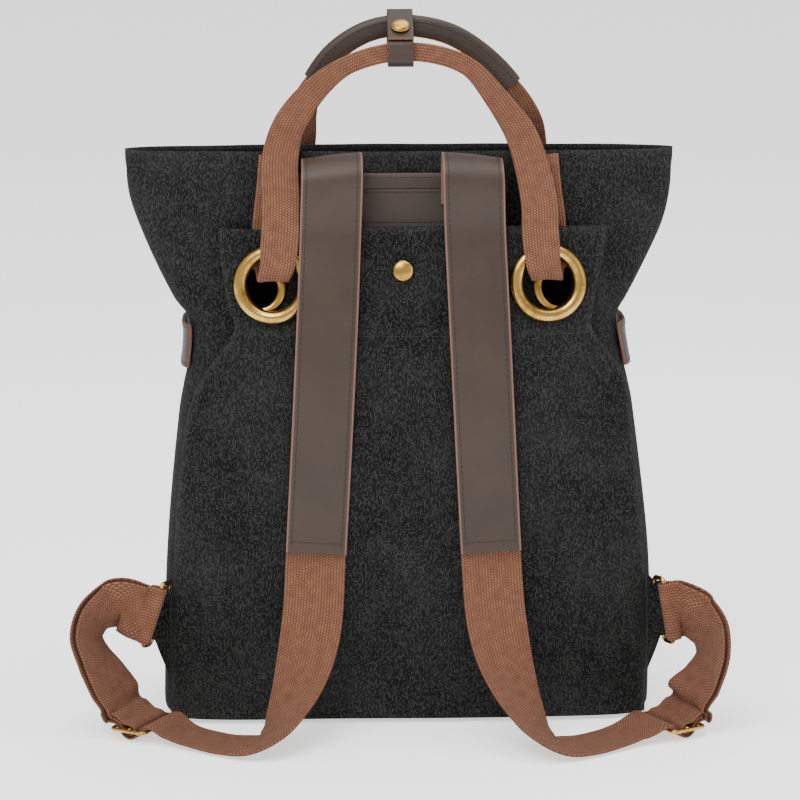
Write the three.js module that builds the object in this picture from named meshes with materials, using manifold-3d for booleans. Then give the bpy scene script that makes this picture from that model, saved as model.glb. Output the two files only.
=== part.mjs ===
// A canvas backpack with two carrying handles, in millimetres, +Z up.
// The strap side faces -Y, and the origin is the middle of the flat base.
import * as THREE from "three";
import { mergeVertices } from "three/addons/utils/BufferGeometryUtils.js";
import Module from "manifold-3d";

const wasm = await Module();
wasm.setup();

// Bag
const BODY_HEIGHT = 380;
const BASE_WIDTH = 329;
const BASE_DEPTH = 120;
const BASE_ROUND = 9;
const CANVAS = 2;
const GAP = 0.4;

// Outer panels
const PANEL_FOOT = 3;
const PANEL_DROP = 47;
const PANEL_HEIGHT = BODY_HEIGHT - PANEL_DROP - PANEL_FOOT;
const PANEL_CLEAR = 1.2;
const POCKET_SLACK = 10.5;

// Metal in the panels
const GROMMET_SPREAD = 180;
const GROMMET_SHIFT = 5;
const GROMMET_DROP = 84;
const GROMMET_HEIGHT = BODY_HEIGHT - GROMMET_DROP;
const GROMMET_HOLE = 34.4;
const GROMMET_BAND = 8.8;
const GROMMET_PROUD = 4.2;
const FLANGE = 1.4;
const BARREL = 1.8;
const SEAT = 0.7;
const EYELET_SPREAD = 200;
const EYELET_HOLE = 26;
const EYELET_BAND = 6;
const EYELET_BARREL = 1.4;
const EYELET_LOWER = 4;
const STUD_DIAMETER = 14.6;
const STUD_PROUD = 4.5;
const STUD_SHANK = 4;
const WASHER = 0.8;
const STUD_DROP = 75;
const STUD_HEIGHT = BODY_HEIGHT - STUD_DROP;

// Leather
const LEATHER = 2.4;
const PATCH_WIDTH = 134;
const PATCH_DROP = 50;
const PATCH_FOOT = BODY_HEIGHT - PATCH_DROP;
const PATCH_TALL = 26;
const STRIP_TALL = 9.5;
const BAND_DROP = 142;
const BAND_FOOT = BODY_HEIGHT - BAND_DROP;
const BAND_TALL = 28;
const BAND_SWEEP = 20;
const BAND_CLEAR = 1.6;

// Shoulder straps
const STRAP_WIDTH = 40;
const STRAP_SPREAD = 92;
const STRAP_RISE = 14;
const STRAP_TUCK = 22;
const LEATHER_END = 119;
const WEBBING = 2;
const FLOOR_GAP = 0.5;
const LAYERS_APART = 3.2;
const LOOP_APART = 4.4;

// Sliders, rings and tabs
const SLIDER_BAR = 2.6;
const SLIDER_SLOT = 10;
const SLIDER_SIDE_GAP = 0.8;
const RING_WIRE = 3.2;
const RING_OPENING = 9;
const RING_SIDE_GAP = 0.8;
const RING_HEIGHT = 76;
const RING_TURN = 65;
const TAB_STAND = 5;
const TAB_ROOT = 66;
const TAB_ROOT_HEIGHT = 65;

// Handles
const HANDLE_WIDTH = 25;
const GRIP_TALL = 12.5;
const GRIP_THICK = 4.4;
const HANDLE_RISE = 64;
const HANDLES_APART = 21;
const FRONT_HANDLE_LIFT = 15;
const SLEEVE_WALL = 1.6;
const KEEPER_WIDTH = 17;
const KEEPER_STUD = 12.5;

const MATERIALS = {
  canvas: new THREE.MeshStandardMaterial({ color: 0x2d2f30, roughness: 0.95, metalness: 0 }),
  leather: new THREE.MeshStandardMaterial({ color: 0x5a463b, roughness: 0.6, metalness: 0 }),
  webbing: new THREE.MeshStandardMaterial({ color: 0x96694f, roughness: 0.9, metalness: 0 }),
  brass: new THREE.MeshStandardMaterial({ color: 0xa9843f, roughness: 0.35, metalness: 1 }),
};

const group = new THREE.Group();

function add(name, geometry, finish) {
  const mesh = new THREE.Mesh(geometry, MATERIALS[finish]);
  mesh.name = name;
  group.add(mesh);
  return mesh;
}

// Rows of a table become objects whose keys are the column names.
function table(columns, rows) {
  const names = columns.split(" ");
  return rows.map((row) => Object.fromEntries(row.map((value, i) => [names[i], value])));
}

// The value of one column at a height share: a cubic through the rows, with mean slopes.
function column(rows, key, at) {
  const last = rows.length - 1;
  const t = Math.min(Math.max(at, rows[0].up), rows[last].up);
  let i = 0;
  while (i < last - 1 && t > rows[i + 1].up) i++;
  const slope = (k) => {
    const a = rows[Math.max(k - 1, 0)];
    const b = rows[Math.min(k + 1, last)];
    return (b[key] - a[key]) / (b.up - a.up);
  };
  const span = rows[i + 1].up - rows[i].up;
  const s = (t - rows[i].up) / span;
  const ease = s * s * (3 - 2 * s);
  return (
    rows[i][key] * (1 - ease) +
    rows[i + 1][key] * ease +
    span * (slope(i) * s * (1 - s) ** 2 - slope(i + 1) * s * s * (1 - s))
  );
}

function smoothstep(from, to, value) {
  return THREE.MathUtils.smoothstep(value, from, to);
}

// Booleans
function toSolid(geometry) {
  const bare = geometry.clone();
  bare.deleteAttribute("normal");
  bare.deleteAttribute("uv");
  const merged = mergeVertices(bare, 1e-4);
  return new wasm.Manifold(
    new wasm.Mesh({
      numProp: 3,
      vertProperties: new Float32Array(merged.attributes.position.array),
      triVerts: new Uint32Array(merged.index.array),
    }),
  );
}

function toGeometry(solid) {
  const mesh = solid.getMesh();
  const geometry = new THREE.BufferGeometry();
  geometry.setAttribute("position", new THREE.BufferAttribute(mesh.vertProperties, 3));
  geometry.setIndex(new THREE.BufferAttribute(mesh.triVerts, 1));
  geometry.computeVertexNormals();
  return geometry;
}

// A solid skinned over rings of equally many points, with flat ends or closed on itself.
function skin(rings, closed = false) {
  const around = rings[0].length;
  const points = rings.flat();
  const faces = [];
  const last = closed ? rings.length : rings.length - 1;
  for (let i = 0; i < last; i++) {
    for (let j = 0; j < around; j++) {
      const a = i * around + j;
      const b = i * around + ((j + 1) % around);
      const c = (a + around) % points.length;
      const d = (b + around) % points.length;
      faces.push([a, b, d], [a, d, c]);
    }
  }
  if (!closed) {
    capRing(rings[0], 0, faces, true);
    capRing(rings[rings.length - 1], (rings.length - 1) * around, faces, false);
  }
  const geometry = new THREE.BufferGeometry().setFromPoints(points);
  geometry.setIndex(faces.flat());
  geometry.computeVertexNormals();
  return geometry;
}

// The cap is triangulated in the plane of the ring's first and middle points.
function capRing(ring, first, faces, turned) {
  const centre = ring.reduce((sum, p) => sum.add(p), new THREE.Vector3()).divideScalar(ring.length);
  const normal = new THREE.Vector3();
  ring.forEach((p, i) => {
    const next = ring[(i + 1) % ring.length];
    normal.add(p.clone().sub(centre).cross(next.clone().sub(centre)));
  });
  normal.normalize();
  const across = ring[0].clone().sub(centre).projectOnPlane(normal).normalize();
  const up = normal.clone().cross(across);
  const flat = ring.map((p) => {
    const offset = p.clone().sub(centre);
    return new THREE.Vector2(offset.dot(across), offset.dot(up));
  });
  for (const [a, b, c] of THREE.ShapeUtils.triangulateShape(flat, [])) {
    faces.push(turned ? [first + c, first + b, first + a] : [first + a, first + b, first + c]);
  }
}

// Stations along a band: a smooth curve through the places, with the direction across it.
function stations(places, steps) {
  const path = new THREE.CatmullRomCurve3(places.map((s) => s.place), false, "centripetal");
  const across = new THREE.CatmullRomCurve3(places.map((s) => s.across), false, "catmullrom", 0.5);
  const count = (places.length - 1) * steps;
  const list = [];
  for (let i = 0; i <= count; i++) {
    const t = i / count;
    const index = t * (places.length - 1);
    const k = Math.min(Math.floor(index), places.length - 2);
    const fold = THREE.MathUtils.lerp(places[k].fold ?? 0, places[k + 1].fold ?? 0, index - k);
    const place = path.getPoint(t);
    const along = path.getTangent(t);
    const wide = across.getPoint(t).projectOnPlane(along).normalize();
    list.push({ place, along, wide, thick: along.clone().cross(wide), fold });
  }
  return list;
}

// A section, given as [across, through] corners at each station, carried along the band.
function sweep(list, section) {
  return skin(
    list.map((s) =>
      section(s).map(([across, through]) =>
        s.place.clone().addScaledVector(s.wide, across).addScaledVector(s.thick, through),
      ),
    ),
  );
}

function flatSection(width, thickness) {
  return [
    [-width / 2, -thickness / 2],
    [width / 2, -thickness / 2],
    [width / 2, thickness / 2],
    [-width / 2, thickness / 2],
  ];
}

// A lathed piece stands on +Z at first, and is then aimed along a normal at a place.
function lathe(profile, sides) {
  const closed = [...profile, profile[0]].map(([r, h]) => new THREE.Vector2(r, h));
  return new THREE.LatheGeometry(closed, sides).rotateX(Math.PI / 2);
}

function aim(geometry, place, normal) {
  const turn = new THREE.Quaternion().setFromUnitVectors(new THREE.Vector3(0, 0, 1), normal);
  return geometry.applyQuaternion(turn).translate(place.x, place.y, place.z);
}

// Form of the bag: half widths and depths as shares of the base, squareness of the section.
const FORM = table("up half lean depth square", [
  [0, 1, 0.02, 1, 7],
  [0.29, 0.988, 0.026, 1, 6.5],
  [0.55, 0.927, 0.021, 0.95, 5],
  [0.64, 0.889, 0.02, 0.87, 4.2],
  [0.705, 0.882, 0.012, 0.79, 3.6],
  [0.74, 0.93, 0.002, 0.73, 3.3],
  [0.8, 0.996, 0, 0.65, 3],
  [0.87, 1.06, 0.004, 0.52, 2.7],
  [0.93, 1.095, 0, 0.42, 2.5],
  [1, 1.106, 0, 0.32, 2.3],
]);

function formAt(z) {
  const up = z / BODY_HEIGHT;
  const half = (column(FORM, "half", up) * BASE_WIDTH) / 2;
  return {
    half,
    lean: (column(FORM, "lean", up) * BASE_WIDTH) / 2,
    depth: (column(FORM, "depth", up) * BASE_DEPTH) / 2,
    square: column(FORM, "square", up),
  };
}

// How far the bag's wall lies from the middle plane at a place across it.
function wallDepth(x, z) {
  const { half, lean, depth, square } = formAt(z);
  const share = Math.min(Math.abs(x - lean) / half, 0.999);
  return depth * (1 - share ** square) ** (1 / square);
}

function bodyRing(z, inset, around) {
  const { half, lean, depth, square } = formAt(z);
  const ring = [];
  for (let j = 0; j < around; j++) {
    const angle = (2 * Math.PI * j) / around;
    const c = Math.cos(angle);
    const s = Math.sin(angle);
    ring.push(
      new THREE.Vector3(
        lean + (half - inset) * Math.sign(c) * Math.abs(c) ** (2 / square),
        (depth - inset) * Math.sign(s) * Math.abs(s) ** (2 / square),
        z,
      ),
    );
  }
  return ring;
}

const AROUND = 32;
const LEVELS = [0.29, 0.42, 0.55, 0.64, 0.705, 0.74, 0.8, 0.87, 0.93];

// The walls: one tube from the round of the foot to the rim, open below and above.
function bagBody() {
  const foot = [0, 45, 90].map((angle) => {
    const a = THREE.MathUtils.degToRad(angle);
    return { z: BASE_ROUND * (1 - Math.cos(a)), inset: BASE_ROUND * (1 - Math.sin(a)) };
  });
  const levels = LEVELS.map((up) => ({ z: up * BODY_HEIGHT, inset: 0 }));
  const outside = [...foot, ...levels, { z: BODY_HEIGHT, inset: 0 }];
  const inside = outside
    .map(({ z, inset }) => ({ z: z === BODY_HEIGHT ? z : z + CANVAS, inset: inset + CANVAS }))
    .reverse();
  return skin([...outside, ...inside].map(({ z, inset }) => bodyRing(z, inset, AROUND)), true);
}

// The base is a flat piece of its own, sewn in between the walls.
function bagBase() {
  const inset = BASE_ROUND + 1.5 * GAP;
  return skin([bodyRing(0, inset, AROUND), bodyRing(CANVAS, inset + CANVAS, AROUND)]);
}

add("bag_base", bagBase(), "canvas");

// Outer panels: widths left and right as shares of the bag's half width at that height.
const PANEL = table("up left right", [
  [0, 0.965, 0.972],
  [0.3, 0.962, 0.966],
  [0.57, 0.958, 0.966],
  [0.7, 0.915, 0.965],
  [0.8, 0.775, 0.845],
  [1, 0.69, 0.765],
]);
const PANEL_TOP = PANEL_FOOT + PANEL_HEIGHT;
const SLACK_STARTS = 0.42;
const SLACK_ENDS = 0.94;

// The pocket stands open at the top and is held close at the sides and below.
function panelSlack(x, z) {
  const { half } = formAt(z);
  const rise = smoothstep(PANEL_FOOT + SLACK_STARTS * PANEL_HEIGHT, PANEL_TOP, z);
  const spread = Math.min(Math.abs(x) / (SLACK_ENDS * half), 1);
  return POCKET_SLACK * rise * (1 - spread ** 4);
}

// The panel's depth at its inner face, before it is flattened round the grommets.
function looseDepth(x, z) {
  return wallDepth(x, z) + PANEL_CLEAR + panelSlack(x, z);
}

// Where a grommet sits: its place on the panel, and the slopes of the cloth there.
function grommetSeat(sign) {
  const x = GROMMET_SHIFT + (sign * GROMMET_SPREAD) / 2;
  const z = GROMMET_HEIGHT;
  const reach = GROMMET_HOLE / 2;
  const depth = looseDepth(x, z);
  const slopeX = (looseDepth(x + reach, z) - looseDepth(x - reach, z)) / (2 * reach);
  const slopeZ = (looseDepth(x, z + reach) - looseDepth(x, z - reach)) / (2 * reach);
  return { x, z, depth, slopeX, slopeZ };
}

const SEATS = [grommetSeat(-1), grommetSeat(1)];
const GROMMET_RADIUS = GROMMET_HOLE / 2 + GROMMET_BAND;
const FLAT_FROM = GROMMET_RADIUS + 3;
const FLAT_TO = GROMMET_RADIUS + 26;

function panelDepth(x, z) {
  let depth = looseDepth(x, z);
  for (const seat of SEATS) {
    const flat = seat.depth + seat.slopeX * (x - seat.x) + seat.slopeZ * (z - seat.z);
    const away = Math.hypot(x - seat.x, z - seat.z);
    depth = THREE.MathUtils.lerp(flat, depth, smoothstep(FLAT_FROM, FLAT_TO, away));
  }
  return Math.max(depth, wallDepth(x, z) + PANEL_CLEAR);
}

function panelEdge(z, side) {
  const { half, lean } = formAt(z);
  const up = (z - PANEL_FOOT) / PANEL_HEIGHT;
  return side < 0 ? lean - half * column(PANEL, "left", up) : lean + half * column(PANEL, "right", up);
}

const PANEL_COLUMNS = 16;
const PANEL_LEVELS = 12;

// One outer panel: side is -1 for the strap side and 1 for the other.
function panel(side) {
  const rings = [];
  for (let i = 0; i <= PANEL_LEVELS; i++) {
    const z = PANEL_FOOT + PANEL_HEIGHT * (i / PANEL_LEVELS) ** 0.8;
    const inner = [];
    const outer = [];
    for (let j = 0; j <= PANEL_COLUMNS; j++) {
      const share = Math.sin(Math.PI * (j / PANEL_COLUMNS - 0.5));
      const x = THREE.MathUtils.lerp(panelEdge(z, -1), panelEdge(z, 1), (share + 1) / 2);
      const depth = panelDepth(x, z);
      inner.push(new THREE.Vector3(x, side * depth, z));
      outer.push(new THREE.Vector3(x, side * (depth + CANVAS), z));
    }
    rings.push(side < 0 ? [...outer, ...inner.reverse()] : [...inner, ...outer.reverse()]);
  }
  return skin(rings);
}

function seatPlace(seat, side) {
  return new THREE.Vector3(seat.x, side * seat.depth, seat.z);
}

function seatNormal(seat, side) {
  return new THREE.Vector3(-seat.slopeX, side, -seat.slopeZ).normalize();
}

const ROUND_SIDES = 18;

// A rounded band in front, a barrel through the cloth and a thin flange behind.
function grommet() {
  const bore = GROMMET_HOLE / 2;
  const barrel = bore + BARREL;
  const rim = GROMMET_RADIUS;
  const front = CANVAS + SEAT;
  const profile = [
    [bore, -SEAT - FLANGE],
    [rim - 2, -SEAT - FLANGE],
    [rim - 2, -SEAT],
    [barrel, -SEAT],
    [barrel, front],
    [rim, front],
    [rim - 0.6, front + GROMMET_PROUD * 0.62],
    [rim - GROMMET_BAND * 0.32, front + GROMMET_PROUD],
    [bore + GROMMET_BAND * 0.3, front + GROMMET_PROUD],
    [bore + 0.5, front + GROMMET_PROUD * 0.6],
  ];
  return lathe(profile, ROUND_SIDES);
}

// The body's own eyelet has a low band outside and a barrel through the wall.
function eyelet() {
  const bore = EYELET_HOLE / 2;
  const profile = [
    [bore, -CANVAS - SEAT],
    [bore + EYELET_BARREL, -CANVAS - SEAT],
    [bore + EYELET_BARREL, SEAT],
    [bore + EYELET_BAND, SEAT],
    [bore + EYELET_BAND, SEAT + 0.8],
    [bore + EYELET_BAND - 1, SEAT + 1.4],
    [bore + 0.6, SEAT + 1.4],
  ];
  return lathe(profile, ROUND_SIDES);
}

function eyeletSeat(sign) {
  const x = GROMMET_SHIFT + (sign * EYELET_SPREAD) / 2;
  const z = GROMMET_HEIGHT - EYELET_LOWER;
  const reach = EYELET_HOLE / 2;
  const slopeX = (wallDepth(x + reach, z) - wallDepth(x - reach, z)) / (2 * reach);
  const slopeZ = (wallDepth(x, z + reach) - wallDepth(x, z - reach)) / (2 * reach);
  return { x, z, depth: wallDepth(x, z), slopeX, slopeZ };
}

function drill(radius, length, place, normal) {
  const cylinder = new THREE.CylinderGeometry(radius, radius, length, ROUND_SIDES);
  return toSolid(aim(cylinder.rotateX(Math.PI / 2), place, normal));
}

const DRILL_LENGTH = 24;
const EYELET_CUT = EYELET_HOLE / 2 + EYELET_BARREL + GAP;
const GROMMET_CUT = GROMMET_HOLE / 2 + BARREL + GAP;
const SHANK_CUT = STUD_SHANK / 2 + GAP;
let bodySolid = toSolid(bagBody());
for (const [sign, side] of [[-1, "left"], [1, "right"]]) {
  const seat = eyeletSeat(sign);
  const normal = seatNormal(seat, -1);
  const place = seatPlace(seat, -1);
  bodySolid = bodySolid.subtract(drill(EYELET_CUT, DRILL_LENGTH, place, normal));
  add("body_eyelet_" + side, aim(eyelet(), place, normal), "brass");
}
add("bag_body", toGeometry(bodySolid), "canvas");

const STUD_SEAT = {
  x: 0,
  z: STUD_HEIGHT,
  depth: panelDepth(0, STUD_HEIGHT),
  slopeX: 0,
  slopeZ: (panelDepth(0, STUD_HEIGHT + STUD_DIAMETER) - panelDepth(0, STUD_HEIGHT - STUD_DIAMETER)) /
    (2 * STUD_DIAMETER),
};
const studPlace = seatPlace(STUD_SEAT, -1);
const studNormal = seatNormal(STUD_SEAT, -1);
for (const [face, side] of [["back", -1], ["front", 1]]) {
  let cloth = toSolid(panel(side));
  SEATS.forEach((seat, i) => {
    const normal = seatNormal(seat, side);
    const place = seatPlace(seat, side);
    cloth = cloth.subtract(drill(GROMMET_CUT, DRILL_LENGTH, place, normal));
    add(face + "_grommet_" + ["left", "right"][i], aim(grommet(), place, normal), "brass");
  });
  if (side < 0) {
    cloth = cloth.subtract(drill(SHANK_CUT, DRILL_LENGTH, studPlace, studNormal));
  }
  add(face + "_panel", toGeometry(cloth), "canvas");
}

const STUD_SIDES = 12;

// A domed stud: cap in front, shank through the layer, small washer behind.
function stud(diameter, proud, layer) {
  const r = diameter / 2;
  const shank = STUD_SHANK / 2;
  const face = layer + SEAT;
  return lathe(
    [
      [0, -SEAT - WASHER],
      [r * 0.6, -SEAT - WASHER],
      [r * 0.6, -SEAT],
      [shank, -SEAT],
      [shank, face],
      [r, face],
      [r * 0.94, face + proud * 0.35],
      [r * 0.7, face + proud * 0.75],
      [r * 0.36, face + proud * 0.95],
      [0, face + proud],
    ],
    STUD_SIDES,
  );
}

add("panel_stud", aim(stud(STUD_DIAMETER, STUD_PROUD, CANVAS), studPlace, studNormal), "brass");

// Leather pieces that lie on the near wall: width across and heights, in columns and levels.
function onWall(width, foot, tall, offset, thickness, levels) {
  const columns = 8;
  const rings = [];
  for (let i = 0; i <= levels; i++) {
    const z = foot + (tall * i) / levels;
    const inner = [];
    const outer = [];
    for (let j = 0; j <= columns; j++) {
      const x = width * (j / columns - 0.5);
      const depth = wallDepth(x, z) + offset;
      inner.push(new THREE.Vector3(x, -depth, z));
      outer.push(new THREE.Vector3(x, -depth - thickness, z));
    }
    rings.push([...outer, ...inner.reverse()]);
  }
  return skin(rings);
}

add("anchor_patch", onWall(PATCH_WIDTH, PATCH_FOOT, PATCH_TALL, GAP, LEATHER, 4), "leather");
const STRIP_FOOT = PATCH_FOOT + PATCH_TALL + GAP;
add("anchor_strip", onWall(PATCH_WIDTH, STRIP_FOOT, STRIP_TALL, GAP, LEATHER, 2), "leather");

// Leather bands hug the gussets at the waist, between the two outer panels.
function sideBand(sign) {
  const across = 8;
  const rings = [];
  for (const share of [0, 0.33, 0.66, 1]) {
    const z = BAND_FOOT + BAND_TALL * share;
    const { half, lean, depth, square } = formAt(z);
    const at = (j, offset) => {
      const angle = THREE.MathUtils.degToRad(BAND_SWEEP * ((2 * j) / across - 1));
      const c = Math.cos(angle) ** (2 / square);
      const s = Math.sign(angle) * Math.abs(Math.sin(angle)) ** (2 / square);
      return new THREE.Vector3(lean + sign * (half + offset) * c, (depth + offset) * s, z);
    };
    const inner = [];
    const outer = [];
    for (let j = 0; j <= across; j++) {
      inner.push(at(j, BAND_CLEAR));
      outer.push(at(j, BAND_CLEAR + LEATHER));
    }
    rings.push(sign > 0 ? [...outer, ...inner.reverse()] : [...inner, ...outer.reverse()]);
  }
  return skin(rings);
}

add("side_band_left", sideBand(-1), "leather");
add("side_band_right", sideBand(1), "leather");

// Shoulder straps
// The leather rises on the patch and folds forward just below the rim.
const PATCH_FRONT = GAP + LEATHER;
const WEBBING_STAND = CANVAS + GAP + WEBBING / 2;
const LEATHER_STAND = CANVAS + GAP + WEBBING + GAP + LEATHER / 2;
const RISE = table("up out", [
  [0.35, 0],
  [0.62, 0],
  [0.9, 0.1],
  [1.03, 0.5],
]);
// The hanging rows run from the fold, at share 0, to the leather's end, at share 1.
const HANG = table("down out", [
  [0.0, 0.95],
  [0.16, 0.75],
  [0.32, 0.5],
  [0.5, 0.28],
  [0.7, 0.16],
  [0.88, 0.08],
  [1, 0.08],
]);
const FOLD_DROP = 4;
const FOLD_BEND = 6;
const FOLD_TOP = BODY_HEIGHT - FOLD_DROP;
const HANG_TOP = FOLD_TOP - FOLD_BEND;
const HANG_OUT = 0.35 * STRAP_RISE;
const SPLAY = 12;

function strapAcross(sign, z) {
  const down = (HANG_TOP - z) / (HANG_TOP - LEATHER_END);
  return sign * (STRAP_SPREAD / 2 + SPLAY * Math.max(down, 0) ** 1.2);
}

function leatherRoute(sign) {
  const across = new THREE.Vector3(-sign, 0, 0);
  const middle = sign * (STRAP_SPREAD / 2);
  const rise = RISE.map(({ up, out }) => {
    const z = PATCH_FOOT + up * (FOLD_TOP - PATCH_FOOT);
    const wall = wallDepth(middle, Math.min(z, BODY_HEIGHT));
    const depth = wall + PATCH_FRONT + GAP + LEATHER / 2 + out * STRAP_RISE;
    return { place: new THREE.Vector3(middle, -depth, z), across };
  });
  const hang = HANG.map(({ down, out }) => {
    const z = HANG_TOP - down * (HANG_TOP - LEATHER_END);
    const x = strapAcross(sign, z);
    const depth = Math.max(panelDepth(x, Math.min(z, PANEL_TOP)), 0) + LEATHER_STAND;
    return { place: new THREE.Vector3(x, -depth - out * HANG_OUT, z), across };
  });
  return [...rise, ...hang];
}

for (const [sign, side] of [[-1, "left"], [1, "right"]]) {
  const list = stations(leatherRoute(sign), 2);
  add("strap_leather_" + side, sweep(list, () => flatSection(STRAP_WIDTH, LEATHER)), "leather");
}

// The webbing falls from the leather's end, bends on the floor and runs out to the slider.
// Turn is the direction across the strap in plan, from inwards, and lift its rise, in degrees.
const FALL = table("side out up turn lift forward", [
  [0.368, 0.65, 0.205, 0, 0, 0],
  [0.399, 0.755, 0.135, 20, 0, 0.15],
  [0.45, 0.89, 0.076, 46, 2, 0.4],
  [0.51, 1.0, 0.036, 75, 0, 0.7],
  [0.59, 1.03, 0.013, 95, 0, 1],
  [0.69, 0.96, 0.004, 105, 0, 1],
  [0.8, 0.86, 0.003, 113, 2, 1],
  [0.9, 0.765, 0.008, 119, 3, 1],
]);
const LOOP_LEFT = table("side out up turn lift", [
  [1.155, 0.598, 0.058, 124, 1],
  [1.2, 0.617, 0.09, 121, -2],
  [1.25, 0.63, 0.13, 115, 9],
  [1.277, 0.617, 0.168, 114, 20],
  [1.25, 0.583, 0.2, 113, 36],
  [1.178, 0.56, 0.219, 108, 58],
  [1.135, 0.565, 0.222, 90, 70],
]);
const LOOP_RIGHT = table("side out up turn lift", [
  [1.16, 0.69, 0.056, 122, 2],
  [1.205, 0.71, 0.088, 118, 7],
  [1.245, 0.7, 0.13, 112, 18],
  [1.238, 0.65, 0.168, 116, 36],
  [1.195, 0.6, 0.19, 114, 58],
  [1.16, 0.585, 0.2, 98, 72],
]);
const STRAPS = [
  {
    side: "left",
    sign: -1,
    forward: 0,
    sliderSide: 1.046,
    sliderOut: 0.66,
    loop: LOOP_LEFT,
    ringClear: 2.3,
    ringLean: 18,
  },
  {
    side: "right",
    sign: 1,
    forward: 9,
    sliderSide: 1.07,
    sliderOut: 0.735,
    loop: LOOP_RIGHT,
    ringClear: 4,
    ringLean: 10,
  },
];
const SLIDER_HEADING = 30;
const HALF_BASE = BASE_WIDTH / 2;
const WEBBING_REST = FLOOR_GAP + WEBBING / 2;

function acrossFrom(sign, turn, lift) {
  const t = THREE.MathUtils.degToRad(turn);
  const l = THREE.MathUtils.degToRad(lift);
  return new THREE.Vector3(-sign * Math.cos(t) * Math.cos(l), -Math.sin(t) * Math.cos(l), Math.sin(l));
}

function freePlace(strap, row, forward) {
  return new THREE.Vector3(
    strap.sign * row.side * HALF_BASE,
    -row.out * BASE_DEPTH - forward,
    WEBBING_REST + row.up * BODY_HEIGHT,
  );
}

// Threading heights in the slider, above its middle, for layers one webbing apart.
const BAR_WRAP = SLIDER_BAR * 0.72 + GAP + WEBBING / 2;
const UNDER_BAR = -(BAR_WRAP + LAYERS_APART - 0.6);
const SLIDER_PITCH = SLIDER_BAR + SLIDER_SLOT;
const SLIDER_UP = WEBBING_REST - UNDER_BAR;

function sliderFrame(strap) {
  const heading = THREE.MathUtils.degToRad(SLIDER_HEADING);
  return {
    centre: new THREE.Vector3(
      strap.sign * strap.sliderSide * HALF_BASE,
      -strap.sliderOut * BASE_DEPTH,
      SLIDER_UP,
    ),
    along: new THREE.Vector3(strap.sign * Math.cos(heading), Math.sin(heading), 0),
    across: new THREE.Vector3(strap.sign * Math.sin(heading), -Math.cos(heading), 0),
  };
}

// The ring hangs edge on to the front: its inner bar is held beside the panel's edge, and its
// outer bar stands in front of that one.
function ringFrame(strap) {
  const lean = THREE.MathUtils.degToRad(strap.ringLean);
  const turn = THREE.MathUtils.degToRad(RING_TURN);
  const root = formAt(RING_HEIGHT);
  const edge = root.lean + strap.sign * root.half;
  const outward = new THREE.Vector3(strap.sign * Math.cos(lean), 0, Math.sin(lean));
  const facing = new THREE.Vector3(0, -1, 0);
  const open = outward.clone().multiplyScalar(Math.cos(turn)).addScaledVector(facing, Math.sin(turn));
  const inner = new THREE.Vector3(edge + strap.sign * strap.ringClear, 0, RING_HEIGHT);
  inner.y = -tabDepth(strap.sign, RING_HEIGHT) - TAB_STAND;
  const bars = RING_OPENING + RING_WIRE;
  return {
    across: new THREE.Vector3(-strap.sign * Math.sin(lean), 0, Math.cos(lean)),
    outward,
    open,
    inner,
    centre: inner.clone().addScaledVector(open, bars / 2),
    outer: inner.clone().addScaledVector(open, bars),
  };
}

// The panel's face at its side edge, where a tab is sewn on.
function tabDepth(sign, z) {
  return wallDepth(panelEdge(z, sign), z) + PANEL_CLEAR + CANVAS;
}

// Places in the slider's own frame: along the strap in pitches, and height in millimetres.
function threaded(frame, rows) {
  return rows.map(([pitches, height]) => ({
    place: frame.centre
      .clone()
      .addScaledVector(frame.along, pitches * SLIDER_PITCH)
      .add(new THREE.Vector3(0, 0, height)),
    across: frame.across,
  }));
}

// The loop's two layers lie either side of the tabled route.
function layer(places, offset) {
  const path = new THREE.CatmullRomCurve3(places.map((s) => s.place), false, "centripetal");
  return places.map(({ place, across }, i) => {
    const along = path.getTangent(i / (places.length - 1));
    const wide = across.clone().projectOnPlane(along).normalize();
    const thick = along.clone().cross(wide);
    return { place: place.clone().addScaledVector(thick, offset), across };
  });
}

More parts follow.
